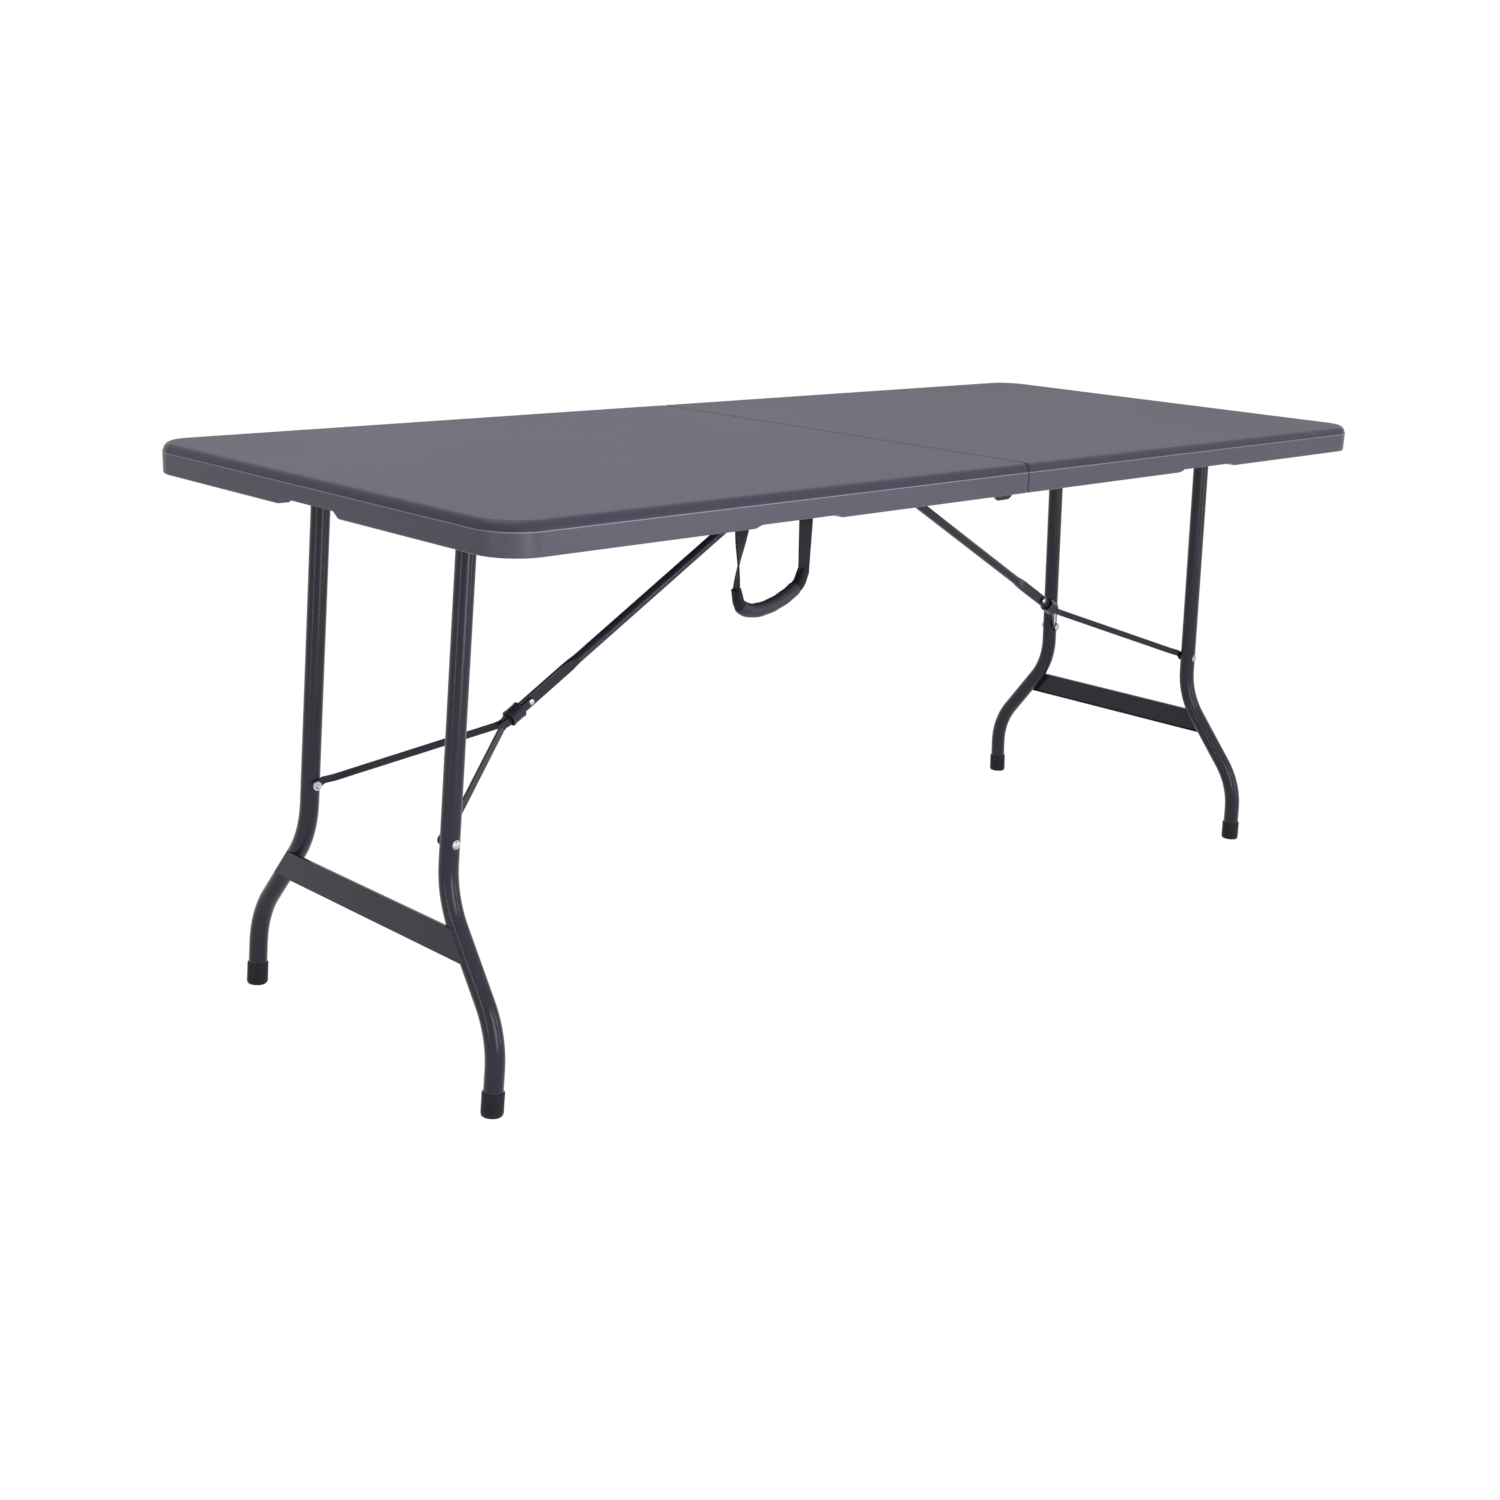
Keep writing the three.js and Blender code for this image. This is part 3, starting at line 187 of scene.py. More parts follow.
class Graph:
    """Shader tree of a material or of the world."""

    def __init__(self, owner: bpy.types.Material | bpy.types.World) -> None:
        """Start from an empty tree.

        Args:
            owner: New material or world that gets the nodes.
        """
        owner.use_nodes = True
        self.owner = owner
        self.tree = owner.node_tree
        self.tree.nodes.clear()

    def _add(
        self,
        kind: str,
        settings: Mapping[str, object] | None,
        inputs: Mapping[str | int, object] | None,
    ) -> bpy.types.Node:
        """Add a node, set it up, then fill or link its sockets."""
        made = self.tree.nodes.new(kind)
        for key, value in (settings or {}).items():
            setattr(made, key, value)
        for key, value in (inputs or {}).items():
            if isinstance(value, Wire):
                self.tree.links.new(value.socket, made.inputs[key])
            else:
                made.inputs[key].default_value = value
        return made

    def node(
        self,
        kind: str,
        settings: Mapping[str, object] | None = None,
        inputs: Mapping[str | int, object] | None = None,
        output: str | int = 0,
    ) -> Wire:
        """Add a node and give one of its outputs.

        Args:
            kind: Blender's node type.
            settings: Node properties, such as a Math node's operation.
            inputs: Values or wires by socket name or number.
            output: The output socket that is wanted.

        Returns:
            That output.
        """
        return Wire(self, self._add(kind, settings, inputs).outputs[output])

    def place(self, coordinates: str = "Object") -> Wire:
        """Texture coordinates of the surface."""
        return self.node("ShaderNodeTexCoord", output=coordinates)

    def part(self, vector: Wire, number: int) -> Wire:
        """One of a vector's three components."""
        return self.node("ShaderNodeSeparateXYZ", None, {0: vector}, number)

    def noise(self, scale: float, detail: float = 2.0, stretch: Sequence[float] = (1, 1, 1)) -> Wire:
        """Noise over the object's own space.

        Args:
            scale: Features per metre.
            detail: Number of finer layers.
            stretch: Factor on the scale along each axis.

        Returns:
            A value round 0.5.
        """
        where = self.node("ShaderNodeMapping", None, {"Vector": self.place(), "Scale": stretch})
        inputs = {"Vector": where, "Scale": scale, "Detail": detail, "Roughness": NOISE_ROUGHNESS}
        return self.node("ShaderNodeTexNoise", None, inputs)

    def rise(self) -> Wire:
        """How far the surface faces up: 0 on a wall, 1 on a level face."""
        return self.part(self.place("Normal"), 2)

    def mix(self, factor: Wire | float, low: object, high: object) -> Wire:
        """Blend of two colours."""
        settings = {"data_type": "RGBA"}
        return self.node("ShaderNodeMix", settings, {0: factor, 6: low, 7: high}, 2)

    def edges(self, radius: float) -> Wire:
        """How near a point is to a sharp edge.

        Args:
            radius: Reach of the effect in metres.

        Returns:
            0 on flat surface, rising towards an edge.
        """
        soft = self.node("ShaderNodeBevel", {"samples": 4}, {"Radius": radius})
        flat = self.node("ShaderNodeNewGeometry", output="Normal")
        dot = {"operation": "DOT_PRODUCT"}
        facing = self.node("ShaderNodeVectorMath", dot, {0: soft, 1: flat}, "Value")
        return (1 - facing).band(*EDGE_BEND)

    def bump(self, height: Wire, depth: float, strength: float = 1.0) -> Wire:
        """Surface relief.

        Args:
            height: Relief from 0 to 1.
            depth: Height of the relief in metres.
            strength: How much of it shows.

        Returns:
            A normal.
        """
        inputs = {"Height": height, "Distance": depth, "Strength": strength}
        return self.node("ShaderNodeBump", None, inputs)

    def finish(self, inputs: Mapping[str | int, object]) -> bpy.types.Material:
        """Close the tree with a surface shader.

        Args:
            inputs: Sockets of the Principled shader.

        Returns:
            The finished material.
        """
        shader = self.node("ShaderNodeBsdfPrincipled", None, inputs)
        self.close(shader)
        return self.owner

    def close(self, shader: Wire, kind: str = "ShaderNodeOutputMaterial") -> None:
        """Join a shader to the tree's output node."""
        self._add(kind, None, {"Surface": shader})


def linear(code: str, gain: float = 1.0) -> tuple[float, float, float, float]:
    """Scene colour of a written hexadecimal colour.

    Args:
        code: Six hexadecimal digits.
        gain: Factor on the result.

    Returns:
        Red, green, blue and alpha.
    """
    parts = [int(code[i : i + 2], 16) / 255 for i in (0, 2, 4)]
    curved = [c / 12.92 if c <= 0.04045 else ((c + 0.055) / 1.055) ** 2.4 for c in parts]
    return (*(min(1.0, gain * c) for c in curved), 1.0)


# ------------------------------------------------------------------ finishes


def new_graph(name: str) -> Graph:
    """Empty tree of a new material."""
    return Graph(bpy.data.materials.new(name))


@dataclass(frozen=True)
class MouldedPlastic:
    """Blow-moulded top: pebbled face, smooth edge band darkened as painted shade, painted highlight line
    along the arris, edges lightened partly by wear and partly as painted highlight, faint scuffs.
    """

    colour: str = "5f5f6c"
    # painted shade: darker colour laid on the shoulder band to stand for the dark reflection it shows
    band_colour: str = "424252"
    face_roughness: float = 0.62
    edge_roughness: float = 0.34
    specular: float = 0.16
    pebbles: Grain = (430.0, 3)
    relief: float = 0.35 * MM
    relief_strength: float = 0.5
    face_relief: float = 0.8              # share of the grain that only the level face has
    clouds: Grain = (2.6, 3)
    specks: Grain = (900, 1)
    scuffs: Grain = (7, 4, (0.6, 7, 3))
    scuff_step: Pair = (0.62, 0.78)
    # the plastic's edges lighten over this reach, partly as wear and partly as painted highlight
    wear_reach: float = 1.4 * MM
    cloud_share: float = 0.5
    speck_share: float = 0.45
    scuff_share: float = 0.12
    wear_share: float = 0.3
    tone_step: Pair = (0.2, 0.8)
    tones: Pair = (0.93, 1.07)
    # lighter colour for scuffs, for the lightened edges and for the painted arris highlight
    worn_tone: float = 3.0
    cloud_gloss: float = 0.14
    scuff_gloss: float = 0.08
    level_face: Pair = (0.985, 0.998)     # rise between the band and the face
    outer_face: Pair = (-0.5, -0.2)       # rise between the underside and the walls
    line: float = 728 * MM                # height of the shoulder's foot
    band_step: Pair = (-0.5 * MM, 0.8 * MM)
    # painted highlight: heights of the thin light line along the arris, round the shoulder's foot
    arris_below: Pair = (-0.9 * MM, -0.4 * MM)
    arris_above: Pair = (0.1 * MM, 0.7 * MM)
    arris_share: float = 0.85
    rim: float = 18 * MM
    band_reach: float = 24 * MM           # the shoulder's inner edge on a corner's diagonal
    fade: float = 1.5 * MM
    half_length: float = CAD_BOX[1][0]
    half_width: float = CAD_BOX[1][1]
    slot: str = "top_plastic"

    def zone(self, g: Graph, reach: float) -> Wire:
        """Mask of the strip along the long and short edges.

        Args:
            g: Graph that gets the nodes.
            reach: Width of the strip from the edge.

        Returns:
            1 in the strip and 0 inside it.
        """
        halves = (self.half_length, self.half_width)
        end, side = (
            g.part(g.place(), axis).size().band(half - reach, half - reach + self.fade)
            for axis, half in enumerate(halves)
        )
        return end.larger(side)

    def at_line(self, level: Wire, step: Pair) -> Wire:
        """Step over two heights given from the shoulder's foot."""
        return level.band(self.line + step[0], self.line + step[1])

    def build(self) -> bpy.types.Material:
        """Make the material."""
        g = new_graph("moulded_plastic")
        rise = g.rise()
        face = rise.band(*self.level_face)
        outer = rise.band(*self.outer_face)
        level = g.part(g.place(), 2)
        # painted shade: mask of the shoulder band above its foot, off the level face and on the outer walls
        band = self.at_line(level, self.band_step) * (1 - face) * (self.zone(g, self.band_reach) * outer)
        # painted highlight: a thin light line along the arris at the shoulder's foot, on the outer walls
        arris = self.at_line(level, self.arris_below) * self.zone(g, self.rim) * outer
        arris = arris * (1 - self.at_line(level, self.arris_above))
        cloud = g.noise(*self.clouds) - 0.5
        speck = g.noise(*self.specks) - 0.5
        scuff = g.noise(*self.scuffs).band(*self.scuff_step)
        # edge lightening on the plastic: partly wear, partly painted highlight
        edge_lightening = g.edges(self.wear_reach)
        tone = cloud * self.cloud_share + speck * self.speck_share + 0.5
        body = g.mix(tone.band(*self.tone_step), *(linear(self.colour, gain) for gain in self.tones))
        # painted shade: the shoulder band is blended towards its darker colour
        shaded = g.mix(band, body, linear(self.band_colour))
        # lighter marks: scuffs, lightened edges (partly wear, partly painted highlight) and the painted
        # arris highlight
        light = scuff * self.scuff_share + edge_lightening * self.wear_share + arris * self.arris_share
        grain = g.noise(*self.pebbles) * (face * self.face_relief + (1 - self.face_relief))
        gloss = self.edge_roughness + face * (self.face_roughness - self.edge_roughness)
        return g.finish({
            "Base Color": g.mix(light, shaded, linear(self.colour, self.worn_tone)),
            "Roughness": gloss + cloud * self.cloud_gloss + scuff * self.scuff_gloss,
            "Specular IOR Level": self.specular,
            "Normal": g.bump(grain, self.relief, self.relief_strength),
        })


@dataclass(frozen=True)
class PaintedSteel:
    """Powder-coated tube and plate: orange peel, fine flecks, lighter worn edges."""

    colour: str = "2f2d3c"
    roughness: float = 0.2
    specular: float = 0.25
    peel: Grain = (650.0, 1)
    relief: float = 0.16 * MM
    relief_strength: float = 0.2
    clouds: Grain = (9, 3)
    cloud_step: Pair = (0.25, 0.75)
    flecks: Grain = (2600, 1)
    fleck_step: Pair = (0.6, 0.75)
    streaks: Grain = (26, 3, (1, 1, 0.06))
    streak_step: Pair = (0.5, 0.85)
    wear_reach: float = 0.9 * MM
    wear_gaps: Grain = (160, 2)
    wear_step: Pair = (0.38, 0.62)
    fleck_share: float = 0.16
    streak_share: float = 0.08
    wear_share: float = 0.4
    tones: Pair = (0.85, 1.12)
    worn_tone: float = 3.2
    cloud_gloss: float = 0.14
    streak_gloss: float = 0.06
    slot: str = "frame_paint"

    def build(self) -> bpy.types.Material:
        """Make the material."""
        g = new_graph("painted_steel")
        cloud = g.noise(*self.clouds)
        fleck = g.noise(*self.flecks).band(*self.fleck_step)
        streak = g.noise(*self.streaks).band(*self.streak_step)
        edge_lightening = g.edges(self.wear_reach) * g.noise(*self.wear_gaps).band(*self.wear_step)
        body = g.mix(cloud.band(*self.cloud_step), *(linear(self.colour, gain) for gain in self.tones))
        light = fleck * self.fleck_share + streak * self.streak_share + edge_lightening * self.wear_share
        return g.finish({
            "Base Color": g.mix(light, body, linear(self.colour, self.worn_tone)),
            "Roughness": self.roughness + (cloud - 0.5) * self.cloud_gloss + streak * self.streak_gloss,
            "Specular IOR Level": self.specular,
            "Normal": g.bump(g.noise(*self.peel), self.relief, self.relief_strength),
        })


@dataclass(frozen=True)
class PlatedSteel:
    """Zinc-plated hardware: turning lines, dull patches."""

    colour: str = "c4c2cc"
    roughness: float = 0.28
    patches: Grain = (420, 3)
    patch_step: Pair = (0.45, 0.75)
    patch_share: float = 0.6
    patch_tone: float = 0.7
    patch_gloss: float = 0.18
    lines: Grain = (900, 2, (1, 9, 1))
    relief: float = 0.05 * MM
    relief_strength: float = 0.3
    slot: str = "bright_steel"

    def build(self) -> bpy.types.Material:
        """Make the material."""
        g = new_graph("plated_steel")
        dull = g.noise(*self.patches).band(*self.patch_step)
        lines = g.noise(*self.lines)
        tones = (linear(self.colour), linear(self.colour, self.patch_tone))
        return g.finish({
            "Base Color": g.mix(dull * self.patch_share, *tones),
            "Metallic": 1.0,
            "Roughness": self.roughness + dull * self.patch_gloss,
            "Normal": g.bump(lines, self.relief, self.relief_strength),
        })


@dataclass(frozen=True)
class Rubber:
    """Moulded rubber: dusty, matt, fine grain."""

    colour: str = "14121b"
    dust_colour: str = "6a6872"
    roughness: float = 0.6
    specular: float = 0.25
    dust: Grain = (70, 4)
    dust_step: Pair = (0.5, 0.8)
    dust_share: float = 0.1
    dust_gloss: float = 0.3
    wear_reach: float = 0.8 * MM
    wear_share: float = 0.2
    grain: Grain = (1100, 2)
    relief: float = 0.12 * MM
    relief_strength: float = 0.5
    slot: str = "rubber"

    def build(self) -> bpy.types.Material:
        """Make the material."""
        g = new_graph("rubber_" + self.slot)
        dusty = g.noise(*self.dust).band(*self.dust_step) * self.dust_share
        dusty = dusty + g.edges(self.wear_reach) * self.wear_share
        return g.finish({
            "Base Color": g.mix(dusty, linear(self.colour), linear(self.dust_colour)),
            "Roughness": self.roughness + dusty * self.dust_gloss,
            "Specular IOR Level": self.specular,
            "Normal": g.bump(g.noise(*self.grain), self.relief, self.relief_strength),
        })


@dataclass(frozen=True)
class Webbing:
    """Woven strap: warp ribs crossed by weft, in metres of its own unrolled map."""

    name: str = "webbing"
    colour: str = "15131d"
    rib: float = 1.5 * MM
    weft: float = 1.1 * MM
    roughness: float = 0.62
    specular: float = 0.2
    sheen: float = 0.04
    fuzz: Grain = (1800, 2)
    fuzz_share: float = 0.3
    fuzz_gloss: float = 0.2
    tones: Pair = (0.55, 1.7)
    relief: float = 0.3 * MM
    relief_strength: float = 0.7
    slot: str = "webbing"

    def build(self) -> bpy.types.Material:
        """Make the material."""
        g = new_graph(self.name)
        across, along = (g.part(g.place("UV"), number) for number in range(2))
        warp = (across * (TURN / self.rib)).sine()
        weave = warp * (along * (TURN / self.weft)).sine() * 0.5 + 0.5
        fuzz = g.noise(*self.fuzz)
        tone = weave * (1 - self.fuzz_share) + fuzz * self.fuzz_share
        return g.finish({
            "Base Color": g.mix(tone, *(linear(self.colour, gain) for gain in self.tones)),
            "Roughness": self.roughness + (fuzz - 0.5) * self.fuzz_gloss,
            "Specular IOR Level": self.specular,
            "Sheen Weight": self.sheen,
            "Normal": g.bump(tone, self.relief, self.relief_strength),
        })


@dataclass(frozen=True)
class Nylon:
    """Small moulded nylon parts: silky, slightly mottled."""

    colour: str = "212129"
    roughness: float = 0.45
    mottle: Grain = (120, 3)
    mottle_share: float = 0.5
    mottle_gloss: float = 0.15
    wear_reach: float = 0.6 * MM
    wear_share: float = 0.3
    tones: Pair = (0.8, 2.0)
    grain: Grain = (1300, 1)
    relief: float = 0.06 * MM
    relief_strength: float = 0.4
    slot: str = "nylon"

    def build(self) -> bpy.types.Material:
        """Make the material."""
        g = new_graph("nylon")
        mottle = g.noise(*self.mottle)
        light = mottle * self.mottle_share + g.edges(self.wear_reach) * self.wear_share
        return g.finish({
            "Base Color": g.mix(light, *(linear(self.colour, gain) for gain in self.tones)),
            "Roughness": self.roughness + mottle * self.mottle_gloss,
            "Normal": g.bump(g.noise(*self.grain), self.relief, self.relief_strength),
        })


Finish = MouldedPlastic | PaintedSteel | PlatedSteel | Rubber | Webbing | Nylon
PLASTIC = MouldedPlastic()
PAINT = PaintedSteel()
PLATED = PlatedSteel()
FOOT_RUBBER = Rubber()
GRIP_RUBBER = Rubber(colour="34323e", roughness=0.4, slot="grip_rubber")
STRAP = Webbing()
THREAD = Webbing(name="thread", colour="2a2833", rib=0.5 * MM, weft=0.5 * MM)
NYLON = Nylon()


@cache
def material_of(finish: Finish) -> bpy.types.Material:
    """Material of a finish, made once."""
    return finish.build()


# ------------------------------------------------------------------ mesh making


class Shape:
    """Points and faces being gathered for one piece."""

    def __init__(self, matrix: Matrix | None = None) -> None:
        """Start an empty shape.

        Args:
            matrix: Turn from the shape's own axes to the table's.
        """
        self.matrix = matrix or Matrix.Identity(4)
        self.points: list[Vector] = []
        self.faces: list[tuple[int, ...]] = []
        self.flat: list[tuple[float, float]] = []

    def rings(
        self,
        rings: Sequence[Sequence[Vector]],
        caps: bool = True,
        loop: bool = False,
        extra: Matrix | None = None,
    ) -> "Shape":
        """Skin a run of equal rings.

        Args:
            rings: The rings, in order.
            caps: Close the two ends.
            loop: Join the last ring to the first.
            extra: Turn applied before the shape's own.

        Returns:
            The shape itself.
        """
        matrix = self.matrix @ (extra or Matrix.Identity(4))
        start, count = len(self.points), len(rings[0])
        run = 0.0
        for number, ring in enumerate(rings):
            if number:
                run += (centre_of(ring) - centre_of(rings[number - 1])).length
            girth = 0.0
            for i, point in enumerate(ring):
                if i:
                    girth += (point - ring[i - 1]).length
                self.points.append(matrix @ point)
                self.flat.append((girth, run))
        last = len(rings) if loop else len(rings) - 1
        for r in range(last):
            a = start + r * count
            b = start + ((r + 1) % len(rings)) * count
            for i in range(count):
                j = (i + 1) % count
                self.faces.append((a + i, a + j, b + j, b + i))
        if caps and not loop:
            end = start + (len(rings) - 1) * count
            self.faces.append(tuple(range(start, start + count))[::-1])
            self.faces.append(tuple(range(end, end + count)))
        return self

    def turned(
        self,
        profile: Profile,
        segments: int = 32,
        extra: Matrix | None = None,
        loop: bool = False,
    ) -> "Shape":
        """Turn a profile round local Z.

        Args:
            profile: Pairs of radius and height.
            segments: Facets round the axis.
            extra: Turn applied before the shape's own.
            loop: The profile is closed, for a hollow piece.

        Returns:
            The shape itself.
        """
        rings = [
            [Vector((r * math.cos(a), r * math.sin(a), h)) for a in angles(segments)]
            for r, h in profile
        ]
        return self.rings(rings, not loop, loop, extra)

    def piece(
        self,
        name: str,
        finish: Finish,
        body: str,
        stands_for: Iterable[str] = (),
        crease: float = CREASE,
    ) -> None:
        """Make the object, dress it and join it to its body.

        Args:
            name: Name of the piece.
            finish: What it is made of.
            body: The frame's body that it moves with.
            stands_for: Frame nodes that it replaces.
            crease: Angle above which an edge stays sharp.
        """
        mesh = bpy.data.meshes.new(name)
        mesh.from_pydata(self.points, [], self.faces)
        layer = mesh.uv_layers.new(name="unrolled")
        for loop in mesh.loops:
            layer.data[loop.index].uv = self.flat[loop.vertex_index]
        tidy = bmesh.new()
        tidy.from_mesh(mesh)
        bmesh.ops.remove_doubles(tidy, verts=tidy.verts, dist=SAME_POINT)
        bmesh.ops.recalc_face_normals(tidy, faces=tidy.faces)
        tidy.to_mesh(mesh)
        tidy.free()
        mesh.shade_smooth()
        mesh.set_sharp_from_angle(angle=crease)
        made = bpy.data.objects.new(name, mesh)
        bpy.context.scene.collection.objects.link(made)
        mesh.materials.append(material_of(finish))
        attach(made, body)
        if stands_for:
            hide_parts(*stands_for)
        LOG.info("piece %s on %s, %d faces", name, body, len(mesh.polygons))


def centre_of(ring: Sequence[Vector]) -> Vector:
    """Mean of a ring's points."""
    return sum(ring, Vector()) / len(ring)


def angles(count: int) -> list[float]:
    """Evenly spaced angles round a circle."""
    return [TURN * i / count for i in range(count)]


def section(half_a: float, half_b: float, power: float = 2.0, count: int = 32) -> list[Pair]:
    """Rounded section between an ellipse and a rectangle.

    Args:
        half_a: Half size along the first direction.
        half_b: Half size along the second.
        power: 2 for an ellipse, more for squarer corners.
        count: Number of points.

    Returns:
        Pairs of offsets.
    """
    pairs = []
    for angle in angles(count):
        c, s = math.cos(angle), math.sin(angle)
        a = math.copysign(abs(c) ** (2 / power), c) * half_a
        b = math.copysign(abs(s) ** (2 / power), s) * half_b
        pairs.append((a, b))
    return pairs


def swept(
    path: Sequence[Vector],
    binormal: Vector,
    sections: Sequence[Profile],
) -> list[list[Vector]]:
    """Rings of a section carried along a flat path.

    Args:
        path: Centre line.
        binormal: Direction square to the path's plane.
        sections: One section for each point of the path.

    Returns:
        The rings.
    """
    rings = []
    for i, centre in enumerate(path):
        along = path[min(i + 1, len(path) - 1)] - path[max(i - 1, 0)]
        across = along.normalized().cross(binormal)
        rings.append([centre + a * binormal + b * across for a, b in sections[i]])
    return rings


def bent(corners: Sequence[Vector], radius: float, steps: int = 14) -> list[Vector]:
    """Path through corners with a round bend at each one.

    Args:
        corners: Ends and corners of the path.
        radius: Radius of every bend.
        steps: Points in each bend.

    Returns:
        Points along the path.
    """
    path = [corners[0]]
    for before, corner, after in zip(corners, corners[1:], corners[2:]):
        back, ahead = (before - corner).normalized(), (after - corner).normalized()
        turn = math.pi - back.angle(ahead)
        centre = corner + (back + ahead).normalized() * radius / math.cos(turn / 2)
        first = corner + back * radius * math.tan(turn / 2) - centre
        last = corner + ahead * radius * math.tan(turn / 2) - centre
        for s in range(steps + 1):
            spin = Matrix.Rotation(turn * s / steps, 3, first.cross(last))
            path.append(centre + spin @ first)
    path.append(corners[-1])
    return path


def along_y(matrix: Matrix | None = None) -> Matrix:
    """Turn that lays a piece turned round Z along +Y."""
    return (matrix or Matrix.Identity(4)) @ Matrix.Rotation(-math.pi / 2, 4, "X")


def along_x(matrix: Matrix | None = None) -> Matrix:
    """Turn that lays a piece turned round Z along +X."""
    return (matrix or Matrix.Identity(4)) @ Matrix.Rotation(math.pi / 2, 4, "Y")


def tube_profile(radius: float, wall: float, half: float, lip: float = 0.3 * MM) -> list[Pair]:
    """Closed profile of a hollow tube centred on the origin.

    Args:
        radius: Outer radius.
        wall: Thickness of the wall.
        half: Half length.
        lip: Softening of the end edges.

    Returns:
        Pairs of radius and height.
    """
    bore = radius - wall
    outside = [(radius - lip, -half), (radius, lip - half), (radius, half - lip), (radius - lip, half)]
    return outside + [(bore, half), (bore, -half)]


def in_mm(*pairs: Pair) -> tuple[Pair, ...]:
    """Pairs written in millimetres, in metres."""
    return tuple((a * MM, b * MM) for a, b in pairs)


def moved(profile: Profile, radius: float, height: float) -> list[Pair]:
    """Profile moved out by a radius and up by a height."""
    return [(radius + r, height + h) for r, h in profile]


def weld_ring(shape: Shape, radius: float, size: float, height: float, extra: Matrix) -> None:
    """Rippled weld bead round an axis.

    Args:
        shape: Shape that takes the bead.
        radius: Radius of the joint.
        size: Radius of the bead.
        height: Place along the axis.
        extra: Turn from local Z to the joint's axis.
    """
    rings = []
    for number, angle in enumerate(angles(72)):
        bead = size * (1 + WELD_RIPPLE * math.sin(number * TURN / WELD_PITCH))
        out = Vector((math.cos(angle), math.sin(angle), 0))
        rings.append([
            out * (radius + bead * math.cos(b)) + Vector((0, 0, height + bead * math.sin(b)))
            for b in angles(8)
        ])
    shape.rings(rings, False, True, extra)


def dress(node: str, finish: Finish, soften: float, steps: int = 2) -> None:
    """Give a frame node its finish and softened edges.

    Args:
        node: The frame's node.
        finish: What it is made of.
        soften: Width of the softened edge in metres.
        steps: Facets across the softened edge.
    """
    thing = frame["nodes"][node]
    mesh = thing.data
    if "custom_normal" in mesh.attributes:
        mesh.attributes.remove(mesh.attributes["custom_normal"])
    mesh.shade_smooth()
    weld = thing.modifiers.new("join_facets", "WELD")
    weld.merge_threshold = 10 * SAME_POINT
    planes = thing.modifiers.new("whole_planes", "DECIMATE")
    planes.decimate_type = "DISSOLVE"
    planes.angle_limit = math.radians(0.4)
    bevel = thing.modifiers.new("soft_edges", "BEVEL")
    bevel.width = soften
    bevel.segments = steps
    bevel.use_clamp_overlap = False
    bevel.limit_method = "ANGLE"
    bevel.angle_limit = CREASE
    normals = thing.modifiers.new("clean_shading", "WEIGHTED_NORMAL")
    normals.weight = 90
    mesh.materials.clear()
    mesh.materials.append(material_of(finish))
    LOG.info("node %s dressed in %s", node, finish.slot)


def joint_place(name: str) -> Vector:
    """Where a joint of the frame is at rest."""
    return next(Vector(j["pos_m"]) for j in frame["joints"] if j["name"] == name)


# ------------------------------------------------------------------ the top


@dataclass
class TableTop:
    """Two moulded halves with a ribbed underside."""

    soften: float = 0.5 * MM

    def build(self) -> None:
        """Dress both halves."""
        for side in Side:
            dress(f"tabletop_{side.label}", PLASTIC, self.soften)


# ------------------------------------------------------------------ the underframe


